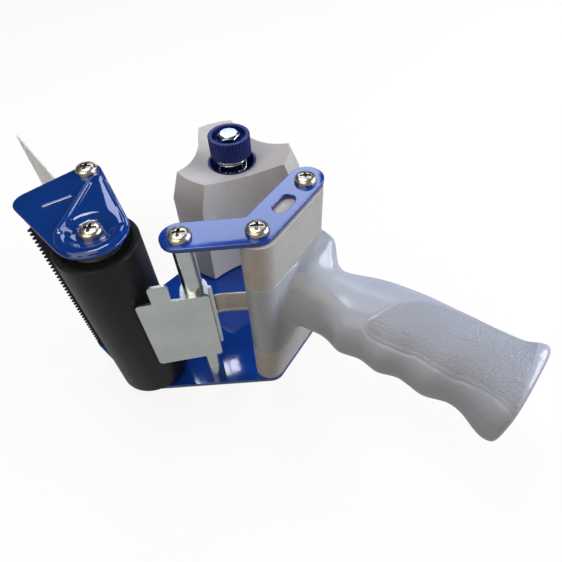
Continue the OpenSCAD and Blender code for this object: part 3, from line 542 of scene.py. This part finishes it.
@dataclass
class Bench:
    """Where pieces are copied from the frame, worked on and handed to their bodies."""

    frame: dict
    weld_mm: float = 0.002
    flat_deg: float = 0.6
    edge_deg: float = 32.0
    shade_deg: float = 46.0
    smooth_factor: float = 0.5
    made: list[bpy.types.Object] = field(default_factory=list)

    def casting(self, node: str, title: str) -> bpy.types.Object:
        """Copy a node's solid as one merged mesh with whole flat faces.

        Args:
            node: the frame's node.
            title: the new piece's name.

        Returns:
            The copy, selected and in object mode.
        """
        piece = bpy.data.objects.new(title, self.frame["nodes"][node].data.copy())
        bpy.context.scene.collection.objects.link(piece)
        piece.data.materials.clear()
        only(piece)
        bpy.ops.mesh.customdata_custom_splitnormals_clear()
        bpy.ops.object.mode_set(mode="EDIT")
        bpy.ops.mesh.select_mode(type="FACE")
        bpy.ops.mesh.select_all(action="SELECT")
        bpy.ops.mesh.remove_doubles(threshold=self.weld_mm * MM)
        bpy.ops.mesh.dissolve_limited(angle_limit=math.radians(self.flat_deg))
        bpy.ops.object.mode_set(mode="OBJECT")
        return piece

    def break_edges(self, piece: bpy.types.Object, width_mm: float, segments: int = 2) -> None:
        """Round the sharp edges of a piece and shade its flats evenly.

        Args:
            piece: the piece.
            width_mm: how far the rounding reaches on each side of an edge.
            segments: faces across the rounding.
        """
        bevel = piece.modifiers.new("edge_break", "BEVEL")
        bevel.width = width_mm * MM
        bevel.segments = segments
        bevel.limit_method = "ANGLE"
        bevel.angle_limit = math.radians(self.edge_deg)
        bevel.miter_outer = "MITER_ARC"
        apply_all(piece)
        smooth_shading(piece, self.shade_deg)
        even = piece.modifiers.new("even_shade", "WEIGHTED_NORMAL")
        even.keep_sharp = True
        apply_all(piece)

    def mould_over(self, piece: bpy.types.Object, voxel_mm: float, passes: int,
                   where: Callable[[Vector], float]) -> None:
        """Turn a piece into an even skin and soften it, as moulding or a thick coat does.

        Args:
            piece: the piece.
            voxel_mm: the size of the skin's faces.
            passes: how often the skin is smoothed.
            where: gives the share of smoothing at a point in millimetres.
        """
        piece.data.transform(Matrix.Scale(1 / MM, 4))
        skin = piece.modifiers.new("skin", "REMESH")
        skin.mode = "VOXEL"
        skin.voxel_size = voxel_mm
        apply_all(piece)
        soft = piece.modifiers.new("soft_edges", "SMOOTH")
        soft.factor = self.smooth_factor
        soft.iterations = passes
        group = piece.vertex_groups.new(name="soft")
        for point in piece.data.vertices:
            group.add([point.index], where(point.co), "REPLACE")
        soft.vertex_group = "soft"
        apply_all(piece)
        piece.vertex_groups.clear()
        piece.data.transform(Matrix.Scale(MM, 4))
        only(piece)
        bpy.ops.object.shade_smooth()

    def hand_over(self, piece: bpy.types.Object, node: str, finish: Finish,
                  ride: bool = True) -> bpy.types.Object:
        """Give a piece its finish, its body and its place in the table.

        Args:
            piece: the finished piece.
            node: the frame's node that it stands for.
            finish: its finish.
            ride: whether it rides on the node's body.

        Returns:
            The piece.
        """
        piece.data.materials.clear()
        piece.data.materials.append(finish.material())
        if ride:
            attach(piece, self.frame["nodes"][node]["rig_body"])
        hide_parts(node)
        self.made.append(piece)
        LOG.info("%s: %d faces, %s", piece.name, len(piece.data.polygons), finish.title)
        return piece

    def refined(self, node: str, title: str, finish: Finish, width_mm: float,
                segments: int = 2) -> bpy.types.Object:
        """Make a piece from its node with broken edges, and hand it over.

        Args:
            node: the frame's node.
            title: the piece's name.
            finish: its finish.
            width_mm: how far the rounding reaches on each side of an edge.
            segments: faces across the rounding.

        Returns:
            The piece.
        """
        piece = self.casting(node, title)
        self.break_edges(piece, width_mm, segments)
        return self.hand_over(piece, node, finish)

    @staticmethod
    def dress_faces(piece: bpy.types.Object, finish: Finish,
                    test: Callable[[bpy.types.MeshPolygon], bool]) -> None:
        """Give some faces of a piece a second finish.

        Args:
            piece: the piece, which has one finish.
            finish: the second one.
            test: says whether a face gets it.
        """
        piece.data.materials.append(finish.material())
        for face in piece.data.polygons:
            if test(face):
                face.material_index = 1


@dataclass
class Plates:
    """The three blue plates: the base plate, the link bar and the pressed top plate.

    The dish is given by its middle and its reach, and the slot, the bead and the slope by their
    middle lines. The bead is the narrow ridge on the teardrop's one side, and the slope spreads
    the teardrop's wall on the other.
    """

    bench: Bench
    edge_mm: float = 0.38
    press_voxel_mm: float = 0.3
    press_passes: int = 80
    dish_mm: tuple[float, float, float] = (-41.9, -88.9, 12.0)
    dish_fade_mm: float = 2.0
    plain_share: float = 0.35
    slot_mm: Line = (-53.9, -69.2, -62.9, -74.7)
    slot_keep_mm: float = 1.4
    slot_share: float = 0.04
    bead_mm: Line = (-49.3, -63.3, -52.6, -89.0)
    bead_width_mm: float = 1.2
    bead_height_mm: float = 0.7
    slope_mm: Line = (-42.2, -60.6, -31.6, -85.5)
    slope_width_mm: float = 5.5
    slope_height_mm: float = 0.65
    upper_face_mm: float = 93.0

    def softness(self, point: Vector) -> float:
        """Give the share of smoothing: full in the dish, less outside, least at the slot.

        Args:
            point: a place on the plate, in millimetres.

        Returns:
            The share.
        """
        x, y, reach = self.dish_mm
        dish = clamp((reach - math.hypot(point.x - x, point.y - y)) / self.dish_fade_mm)
        off = line_distance(point.x, point.y, self.slot_mm)
        slot = clamp(off - self.slot_keep_mm, self.slot_share)
        return slot * (self.plain_share + (1 - self.plain_share) * dish)

    def shape_flanks(self, plate: bpy.types.Object) -> None:
        """Raise the bead on the teardrop's one side and spread the slope on its other.

        Args:
            plate: the softened top plate.
        """
        for point in plate.data.vertices:
            if point.co.z > self.upper_face_mm * MM:
                x, y = point.co.x / MM, point.co.y / MM
                bead = line_distance(x, y, self.bead_mm) / self.bead_width_mm
                fall = max(1 - line_distance(x, y, self.slope_mm) / self.slope_width_mm, 0)
                high = min((point.co.z / MM - self.upper_face_mm) / self.slope_height_mm, 1)
                point.co.z += MM * (self.bead_height_mm * math.exp(-bead ** 2)
                                    - self.slope_height_mm * fall * fall * high)
        plate.data.update()

    def build(self) -> None:
        """Make the plates with the rolled edges that thick enamel gives."""
        for node in ("base_plate", "link_bar"):
            self.bench.refined(node, f"{node}_enamelled", ENAMEL, self.edge_mm, ROUNDED)
        plate = self.bench.casting("top_plate", "top_plate_pressed")
        self.bench.mould_over(plate, self.press_voxel_mm, self.press_passes, self.softness)
        self.shape_flanks(plate)
        self.bench.hand_over(plate, "top_plate", ENAMEL)


@dataclass
class Column:
    """The column's two spacers, its rods and the grip between the spacers.

    Places on the grip are given along it from the column's middle and across it, in millimetres.
    The panel's outline runs from the butt along the panel's one edge and round its tip to the
    other edge, and the far corners close it beyond the grip's side.
    """

    bench: Bench
    edge_mm: float = 0.35
    rod_edge_mm: float = 0.2
    skin_mm: float = 0.44
    soft_passes: int = 42
    middle: tuple[float, float] = (24.97, -79.1)
    turn_deg: float = 55.5
    eye_face_mm: float = 7.1
    eye_fade_mm: float = 2.5
    eye_share: float = 0.04
    butt_mm: float = 93.0
    butt_fade_mm: float = 4.0
    butt_share: float = 0.82
    groove_mm: float = 0.38
    groove_depth_mm: float = 0.3
    groove_tilt: float = 0.15
    groove_tilt_fade: float = 0.3
    panel_start_mm: float = 36.0
    grain_gap_mm: float = 0.5
    grain_fade_mm: float = 0.8
    far_corners: tuple[tuple[float, float], ...] = ((80.0, 24.0), (96.4, 24.0))
    outline: tuple[tuple[float, float], ...] = (
        (96.4, -15.9), (93.6, -15.0), (88.9, -13.2), (84.8, -11.7), (79.9, -11.0), (74.0, -11.9),
        (68.3, -11.9), (61.6, -10.6), (56.3, -11.2), (49.6, -12.1), (44.2, -11.3), (41.3, -9.9),
        (40.5, -8.2), (40.9, -6.6), (42.6, -4.2), (45.8, 1.6), (48.2, 5.4), (51.1, 8.4),
        (54.0, 10.6), (57.5, 12.3), (62.0, 13.8), (68.0, 15.2), (74.0, 16.2))

    def along(self, x: float, y: float) -> tuple[float, float]:
        """Turn a place into distances along the grip and across it.

        Args:
            x: the place's x, in millimetres.
            y: the place's y, in millimetres.

        Returns:
            The distances along and across, in millimetres.
        """
        dx, dy = x - self.middle[0], y - self.middle[1]
        c, s = math.cos(math.radians(self.turn_deg)), math.sin(math.radians(self.turn_deg))
        return dx * s - dy * c, dx * c + dy * s

    def softness(self, point: Vector) -> float:
        """Give the share of smoothing: full on the grip, little on the eye and at the butt.

        Args:
            point: a place on the grip, in millimetres.

        Returns:
            The share.
        """
        reach = self.along(point.x, point.y)[0]
        t = clamp((reach - self.eye_face_mm) / self.eye_fade_mm)
        butt = clamp((reach - self.butt_mm) / self.butt_fade_mm)
        grip = self.eye_share + (1 - self.eye_share) * t * t * (3 - 2 * t)
        return grip * (1 - self.butt_share * butt)

    def from_outline(self, u: float, v: float) -> float:
        """Give the distance from the panel's outline.

        Args:
            u: the place's distance along the grip.
            v: its distance across the grip.

        Returns:
            The distance, in millimetres.
        """
        ends = zip(self.outline, self.outline[1:])
        return min(line_distance(u, v, (*start, *end)) for start, end in ends)

    def inside(self, u: float, v: float) -> bool:
        """Say whether a place lies within the panel's outline.

        Args:
            u: the place's distance along the grip.
            v: its distance across the grip.

        Returns:
            Whether it does.
        """
        ring = [*self.outline, *self.far_corners]
        odd = False
        for (ax, ay), (bx, by) in zip(ring, ring[1:] + ring[:1]):
            if (ay > v) != (by > v) and u < ax + (v - ay) * (bx - ax) / (by - ay):
                odd = not odd
        return odd

    def press_panel(self, grip: bpy.types.Object) -> None:
        """Sink the groove round the grip's panel and mark the panel for its grain.

        Args:
            grip: the softened grip.
        """
        marks = grip.data.attributes.new("panel", "FLOAT", "POINT")
        normals = [v.normal.copy() for v in grip.data.vertices]
        shares = []
        for point, normal in zip(grip.data.vertices, normals):
            u, v = self.along(point.co.x / MM, point.co.y / MM)
            share = 0.0
            if u > self.panel_start_mm:
                gap = self.from_outline(u, v)
                flat = clamp((abs(normal.z) - self.groove_tilt) / self.groove_tilt_fade)
                point.co -= normal * (self.groove_depth_mm * MM * flat
                                      * math.exp(-(gap / self.groove_mm) ** 2))
                if self.inside(u, v):
                    share = clamp((gap - self.grain_gap_mm) / self.grain_fade_mm)
            shares.append(share)
        marks.data.foreach_set("value", shares)
        grip.data.update()

    def build(self) -> None:
        """Make the column's pieces."""
        for node in ("lower_spacer", "upper_spacer"):
            self.bench.refined(node, f"{node}_moulded", SPACER, self.edge_mm)
        self.bench.refined("tie_rods", "tie_rods_plated", TURNED, self.rod_edge_mm)
        grip = self.bench.casting("handle", "grip_moulded")
        self.bench.mould_over(grip, self.skin_mm, self.soft_passes, self.softness)
        self.press_panel(grip)
        self.bench.hand_over(grip, "handle", HANDLE)


@dataclass
class TensionGear:
    """The guide post with its tension plate, and the leaf spring that presses the plate."""

    bench: Bench
    post_edge_mm: float = 0.25
    clip_edge_mm: float = 0.1
    sheet_edge_mm: float = 0.22
    leaf_edge_mm: float = 0.08
    leaf_cuts: int = 8

    def build(self) -> None:
        """Make the post, the folded plate, the clip and the leaf spring."""
        self.bench.refined("guide_post", "guide_post_turned", TURNED, self.post_edge_mm)
        self.bench.refined("post_clip", "post_clip_stamped", LEAF, self.clip_edge_mm)
        self.bench.refined("tension_plate", "tension_plate_folded", ZINC, self.sheet_edge_mm)
        leaf = self.bench.casting("leaf_spring", "leaf_spring_strip")
        self.bench.break_edges(leaf, self.leaf_edge_mm)
        bpy.ops.object.mode_set(mode="EDIT")
        bpy.ops.mesh.select_all(action="SELECT")
        bpy.ops.mesh.subdivide(number_cuts=self.leaf_cuts)
        bpy.ops.object.mode_set(mode="OBJECT")
        self.bench.hand_over(leaf, "leaf_spring", LEAF, ride=False)
        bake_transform(leaf)


@dataclass
class Roller:
    """The pressing roller on its fixed axle.

    Its solids end above the height in the photograph, so that the copies' tops come down: the
    sleeve's to the rim, the core's a little below it and the upper bush's deep into the core.
    """

    bench: Bench
    axle_edge_mm: float = 0.25
    tube_edge_mm: float = 0.25
    sleeve_edge_mm: float = 0.4
    rim_mm: float = 88.2
    rim_zone_mm: float = 4.0
    core_sink_mm: float = 0.3
    bush_sink_mm: float = 5.5
    end_face_share: float = 0.8

    def lowered(self, node: str, title: str, finish: Finish, top_mm: float,
                edge_mm: float) -> bpy.types.Object:
        """Make a piece from its node with its top brought down, and hand it over.

        Args:
            node: the frame's node.
            title: the piece's name.
            finish: its finish.
            top_mm: the height of its top.
            edge_mm: how far its edges are rounded.

        Returns:
            The piece, with all that lies below the zone under its top as it was.
        """
        piece = self.bench.casting(node, title)
        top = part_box(node)[1].z
        drop = top - top_mm * MM
        for point in piece.data.vertices:
            if point.co.z > top - self.rim_zone_mm * MM:
                point.co.z -= drop
        self.bench.break_edges(piece, edge_mm, ROUNDED)
        return self.bench.hand_over(piece, node, finish)

    def build(self) -> None:
        """Make the axle, the core tube, its bushes and the rubber sleeve."""
        self.bench.refined("roller_axle", "roller_axle_turned", TURNED, self.axle_edge_mm)
        self.lowered("roller_core", "roller_core_tube", CORE_AND_END_SHADE, self.rim_mm - self.core_sink_mm,
                     self.tube_edge_mm)
        self.lowered("roller_bushes", "roller_bushes_moulded", BUSH,
                     self.rim_mm - self.bush_sink_mm, self.tube_edge_mm)
        sleeve = self.lowered("roller_sleeve", "roller_sleeve_ground", RUBBER, self.rim_mm,
                              self.sleeve_edge_mm)
        # The sleeve's upward end faces get the core's black as painted shade.
        self.bench.dress_faces(sleeve, CORE_AND_END_SHADE, lambda face: face.normal.z > self.end_face_share)


@dataclass
class Cutter:
    """The toothed cutter on its carrier, and the frosted wiper sheet beside it.

    The carrier's key fills the slot in the top plate. Above the height of its tab it is bare
    sheared edge, and its end is as thin as the photograph shows it.
    """

    bench: Bench
    post_edge_mm: float = 0.25
    sheet_edge_mm: float = 0.12
    tooth_edge_mm: float = 0.1
    screw_edge_mm: float = 0.15
    pressed_edge_mm: float = 0.2
    tab_mm: float = 92.6
    key_mm: float = 92.0
    key_share: float = 0.5

    def thin_key(self, carrier: bpy.types.Object) -> None:
        """Thin the key's end, which leaves a dark line round it in its slot.

        Args:
            carrier: the carrier.
        """
        ax, ay, bx, by = Plates.slot_mm
        long = math.hypot(bx - ax, by - ay)
        nx, ny = (ay - by) / long, (bx - ax) / long
        for point in carrier.data.vertices:
            if point.co.z > self.key_mm * MM:
                off = (point.co.x / MM - ax) * nx + (point.co.y / MM - ay) * ny
                point.co.x -= nx * off * (1 - self.key_share) * MM
                point.co.y -= ny * off * (1 - self.key_share) * MM

    def build(self) -> None:
        """Make the cutter's pieces."""
        self.bench.refined("corner_post", "corner_post_turned", TURNED, self.post_edge_mm)
        carrier = self.bench.refined("blade_carrier", "blade_carrier_bent", ZINC,
                                     self.sheet_edge_mm)
        self.thin_key(carrier)
        self.bench.dress_faces(carrier, SHEARED, lambda face: face.center.z > self.tab_mm * MM)
        self.bench.refined("blade", "blade_toothed", BLADE, self.tooth_edge_mm)
        self.bench.refined("blade_screws", "blade_screws_turned", SCREW, self.screw_edge_mm)
        self.bench.refined("blade_nuts", "blade_nuts_pressed", SCREW, self.pressed_edge_mm)
        self.bench.refined("flap", "wiper_sheet", FILM, self.sheet_edge_mm)
        self.bench.refined("flap_strip", "wiper_strip", ZINC, self.pressed_edge_mm)
        self.bench.refined("flap_rivets", "wiper_rivets", SCREW, self.pressed_edge_mm)


@dataclass
class Fasteners:
    """The pan head screws on top and the countersunk screws below."""

    bench: Bench
    pan_edge_mm: float = 0.14
    sunk_edge_mm: float = 0.12

    def build(self) -> None:
        """Make both sets of screws."""
        self.bench.refined("pan_screws", "pan_screws_plated", SCREW, self.pan_edge_mm)
        self.bench.refined("base_screws", "base_screws_plated", SCREW, self.sunk_edge_mm)


@dataclass
class RollHub:
    """The three-lobed hub on its spindle, with the screw brake on top."""

    bench: Bench
    lobe_edge_mm: float = 0.55
    tube_edge_mm: float = 0.2
    cup_edge_mm: float = 0.3
    washer_edge_mm: float = 0.15
    bolt_edge_mm: float = 0.25
    rib_edge_mm: float = 0.14
    coil_r_mm: float = 7.5
    wire_mm: float = 1.5
    wire_rings: int = 4
    wire_shade_deg: float = 50.0
    turns: float = 3.0
    wire_points: int = 36

    def coil(self) -> bpy.types.Object:
        """Wind the brake spring as one round wire between its two washers.

        Returns:
            The spring as a mesh.
        """
        low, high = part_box("brake_spring")
        curve = bpy.data.curves.new("brake_spring_wound", "CURVE")
        curve.dimensions = "3D"
        curve.bevel_depth = self.wire_mm * MM / 2
        curve.bevel_resolution = self.wire_rings
        curve.use_fill_caps = True
        line = curve.splines.new("POLY")
        steps = int(self.turns * self.wire_points)
        line.points.add(steps)
        half = self.wire_mm * MM / 2
        for i in range(steps + 1):
            share = i / steps
            angle = 2 * math.pi * self.turns * share
            rise = low.z + half + (high.z - low.z - 2 * half) * share
            line.points[i].co = (self.coil_r_mm * MM * math.cos(angle),
                                 self.coil_r_mm * MM * math.sin(angle), rise, 1)
        wire = bpy.data.objects.new("brake_spring_wound", curve)
        bpy.context.scene.collection.objects.link(wire)
        only(wire)
        bpy.ops.object.convert(target="MESH")
        smooth_shading(wire, self.wire_shade_deg)
        return wire

    def build(self) -> None:
        """Make the hub and all that turns or presses on it."""
        self.bench.refined("spindle_tube", "spindle_tube_staked", TURNED, self.tube_edge_mm)
        self.bench.refined("hub", "hub_moulded", HUBGREY, self.lobe_edge_mm, ROUNDED)
        self.bench.refined("hub_liner", "hub_liner_cup", NAVY, self.cup_edge_mm)
        self.bench.refined("hub_bush", "hub_bush_pressed", BUSH, self.tube_edge_mm)
        for node in ("brake_washer", "spring_washer"):
            self.bench.refined(node, f"{node}_flat", WIRE, self.washer_edge_mm)
        self.bench.refined("spindle_bolt", "spindle_bolt_hexagon", WIRE, self.bolt_edge_mm)
        self.bench.refined("knob", "knob_ribbed", NAVY, self.rib_edge_mm)
        spring = self.coil()
        self.bench.hand_over(spring, "brake_spring", WIRE, ride=False)
        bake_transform(spring)


@dataclass(frozen=True)
class Window:
    """A window or a soft lamp of one or more panes, which faces the part.

    It hangs at an azimuth, in degrees from +X towards +Y, and an elevation, in degrees. Its
    distance and its whole width and height are in metres, and the power of all its panes is in
    watts.
    """

    title: str
    azimuth: float
    elevation: float
    distance: float
    size: tuple[float, float]
    panes: tuple[int, int]
    power: float
    colour: str
    glass_share: float = 0.86

    def pane(self, number: int, middle: Vector) -> bpy.types.Object:
        """Make one pane as a soft lamp in the middle of the window.

        Args:
            number: the pane's number.
            middle: the window's middle, in metres.

        Returns:
            The lamp, which faces the part.
        """
        title = f"{self.title}_{number}"
        data = bpy.data.lights.new(title, "AREA")
        data.shape = "RECTANGLE"
        data.size = self.size[0] / self.panes[0] * self.glass_share
        data.size_y = self.size[1] / self.panes[1] * self.glass_share
        data.energy = self.power / (self.panes[0] * self.panes[1])
        data.color = linear(self.colour)[:3]
        glass = bpy.data.objects.new(title, data)
        bpy.context.scene.collection.objects.link(glass)
        glass.rotation_euler = (middle * -1).to_track_quat("-Z", "Y").to_euler()
        return glass

    def hang(self) -> None:
        """Hang the panes side by side, so that the bars between them show in glossy surfaces."""
        a, e = math.radians(self.azimuth), math.radians(self.elevation)
        way = Vector((math.cos(a) * math.cos(e), math.sin(a) * math.cos(e), math.sin(e)))
        middle = way * self.distance
        across = Vector((-math.sin(a), math.cos(a), 0))
        upwards = middle.cross(across).normalized()
        wide, tall = self.size[0] / self.panes[0], self.size[1] / self.panes[1]
        for i in range(self.panes[0] * self.panes[1]):
            x = (i % self.panes[0] - (self.panes[0] - 1) / 2) * wide
            y = (i // self.panes[0] - (self.panes[1] - 1) / 2) * tall
            self.pane(i, middle).location = middle + across * x + upwards * y


@dataclass
class Studio:
    """The pale floor, the soft lights and the camera.

    The camera's place and angles were solved from points of the part in the photograph. The room
    is dim, with a glow at the horizon and a warm side in front.
    """

    eye_mm: tuple[float, float, float] = (23.02, -204.06, 195.377)
    pitch: float = 0.859
    roll: float = -0.049
    focal_px: float = 441.382
    sensor_mm: float = 36.0
    sight_m: tuple[float, float] = (0.01, 20.0)
    floor_m: float = 8.0
    floor_gap_mm: float = 0.02
    floor_colour: str = "#5c5b5a"
    floor_glow: float = 0.87
    floor_shine: float = 0.4
    white: str = "#ffffff"
    cool: str = "#dfe7f6"
    warm: str = "#f7e6cf"
    front_reach: float = 0.5
    front_light: float = 0.14
    horizon: tuple[float, float] = (0.02, 0.3)
    horizon_light: tuple[float, float] = (0.3, 0.05)
    windows: tuple[Window, ...] = (
        # Lights the grip and the faces on the right from the side.
        Window("right_window", 4, 23, 1.0, (0.78, 0.56), (3, 2), 12.5, "#eef2fa"),
        # Lies as a pale blue shine on the link bar and the base plate.
        Window("back_window", 95.3, 38.3, 5.0, (2.1, 1.42), (1, 1), 39.5, "#d0dcf6"),
        # Lights the upper faces.
        Window("high_lamp", 145, 76, 0.9, (0.4, 0.4), (1, 1), 4.1, "#f4f6ff"),
        # Gives curved enamel and bright metal a row of panes to reflect.
        Window("far_window", 66, 48, 5.0, (1.3, 0.7), (4, 1), 11.0, "#f2f5ff"),
        # Leaves the small spots on the base plate before the column.
        Window("ceiling_light", 107.8, 64.3, 0.861, (0.05, 0.035), (2, 1), 0.06, "#f2f5ff"),
        # Fills the shade on the left with a slightly warm light.
        Window("left_lamp", 240, 42, 0.9, (1.0, 0.8), (1, 1), 3.8, "#fff3e3"),
    )

    def camera(self) -> None:
        """Set the camera at the photograph's place and angle."""
        data = bpy.data.cameras.new("photo_view")
        data.sensor_width = self.sensor_mm
        data.lens = self.focal_px * self.sensor_mm / PICTURE
        data.clip_start, data.clip_end = self.sight_m
        eye = bpy.data.objects.new("photo_view", data)
        bpy.context.scene.collection.objects.link(eye)
        ahead = Vector((0, math.cos(self.pitch), -math.sin(self.pitch)))
        up = Vector((0, math.sin(self.pitch), math.cos(self.pitch)))
        right = Vector((1, 0, 0))
        c, s = math.cos(self.roll), math.sin(self.roll)
        axes = (right * c + up * s, up * c - right * s, -ahead)
        turned = Matrix([[a[i] for a in axes] for i in range(3)]).to_4x4()
        eye.matrix_world = Matrix.Translation(Vector(self.eye_mm) * MM) @ turned
        bpy.context.scene.camera = eye

    def floor(self) -> None:
        """Lay the pale floor under the part.

        It glows only towards the camera, and less towards glossy faces, so that it looks white
        without lighting the part.
        """
        bpy.ops.mesh.primitive_plane_add(size=self.floor_m,
                                         location=(0, 0, -self.floor_gap_mm * MM))
        ground = bpy.context.object
        ground.name = "floor"
        made = bpy.data.materials.new("pale_floor")
        made.use_nodes = True
        tree = made.node_tree
        tree.nodes.clear()
        path = add_node(tree, "ShaderNodeLightPath")
        seen = add_node(tree, "ShaderNodeMath", {"operation": "MAXIMUM"},
                        {0: path.outputs["Is Camera Ray"],
                         1: path.outputs["Is Transmission Ray"]}).outputs["Value"]
        shine = add_node(tree, "ShaderNodeMath", {"operation": "MULTIPLY", 1: self.floor_shine},
                         {0: path.outputs["Is Glossy Ray"]}).outputs["Value"]
        share = add_node(tree, "ShaderNodeMath", {"operation": "MAXIMUM"},
                         {0: seen, 1: shine}).outputs["Value"]
        strength = add_node(tree, "ShaderNodeMath", {"operation": "MULTIPLY", 1: self.floor_glow},
                            {0: share}).outputs["Value"]
        matt = add_node(tree, "ShaderNodeBsdfDiffuse", {"Color": linear(self.floor_colour)})
        glow = add_node(tree, "ShaderNodeEmission", {"Color": linear(self.white)},
                        {"Strength": strength})
        both = add_node(tree, "ShaderNodeAddShader", {}, {0: matt.outputs[0], 1: glow.outputs[0]})
        add_node(tree, "ShaderNodeOutputMaterial", {}, {"Surface": both.outputs[0]})
        ground.data.materials.append(made)

    def sky(self) -> None:
        """Surround the part with a dim room, warm in front and cool behind."""
        world = bpy.data.worlds.new("room")
        bpy.context.scene.world = world
        world.use_nodes = True
        tree = world.node_tree
        tree.nodes.clear()
        place = add_node(tree, "ShaderNodeTexCoord").outputs["Generated"]
        parts = add_node(tree, "ShaderNodeSeparateXYZ", {}, {0: place})
        front = add_node(tree, "ShaderNodeMapRange",
                         {"From Min": -self.front_reach, "From Max": self.front_reach,
                          "To Min": 1.0, "To Max": 0.0},
                         {"Value": parts.outputs["Y"]}).outputs["Result"]
        low = add_node(tree, "ShaderNodeMapRange",
                       {"From Min": self.horizon[0], "From Max": self.horizon[1],
                        "To Min": self.horizon_light[0], "To Max": self.horizon_light[1]},
                       {"Value": parts.outputs["Z"]}).outputs["Result"]
        level = add_node(tree, "ShaderNodeMath", {"operation": "MULTIPLY_ADD", 1: self.front_light},
                         {0: front, 2: low}).outputs["Value"]
        hue = add_node(tree, "ShaderNodeMix", {"data_type": "RGBA"}, {MIX_SHARE: front})
        hue.inputs[MIX_FIRST].default_value = linear(self.cool)
        hue.inputs[MIX_SECOND].default_value = linear(self.warm)
        path = add_node(tree, "ShaderNodeLightPath").outputs["Is Camera Ray"]
        room = add_node(tree, "ShaderNodeBackground", {},
                        {"Color": hue.outputs[MIX_OUT], "Strength": level})
        plain = add_node(tree, "ShaderNodeBackground",
                         {"Color": linear(self.white), "Strength": 1.0})
        mix = add_node(tree, "ShaderNodeMixShader", {},
                       {0: path, 1: room.outputs[0], 2: plain.outputs[0]})
        add_node(tree, "ShaderNodeOutputWorld", {}, {"Surface": mix.outputs[0]})

    def build(self) -> None:
        """Set up the whole studio."""
        bpy.context.scene.view_settings.view_transform = "Standard"
        self.camera()
        self.floor()
        self.sky()
        for window in self.windows:
            window.hang()


def main() -> None:
    """Build the dispenser's looks and report each piece."""
    logging.basicConfig(level=logging.INFO, format="%(name)s: %(message)s")
    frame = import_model()
    studio = Studio()
    studio.build()
    bench = Bench(frame)
    for assembly in (Plates(bench), Column(bench), TensionGear(bench), Roller(bench),
                     Cutter(bench), Fasteners(bench), RollHub(bench)):
        assembly.build()
    LOG.info("%d pieces made", len(bench.made))


if __name__ == "__main__":
    main()
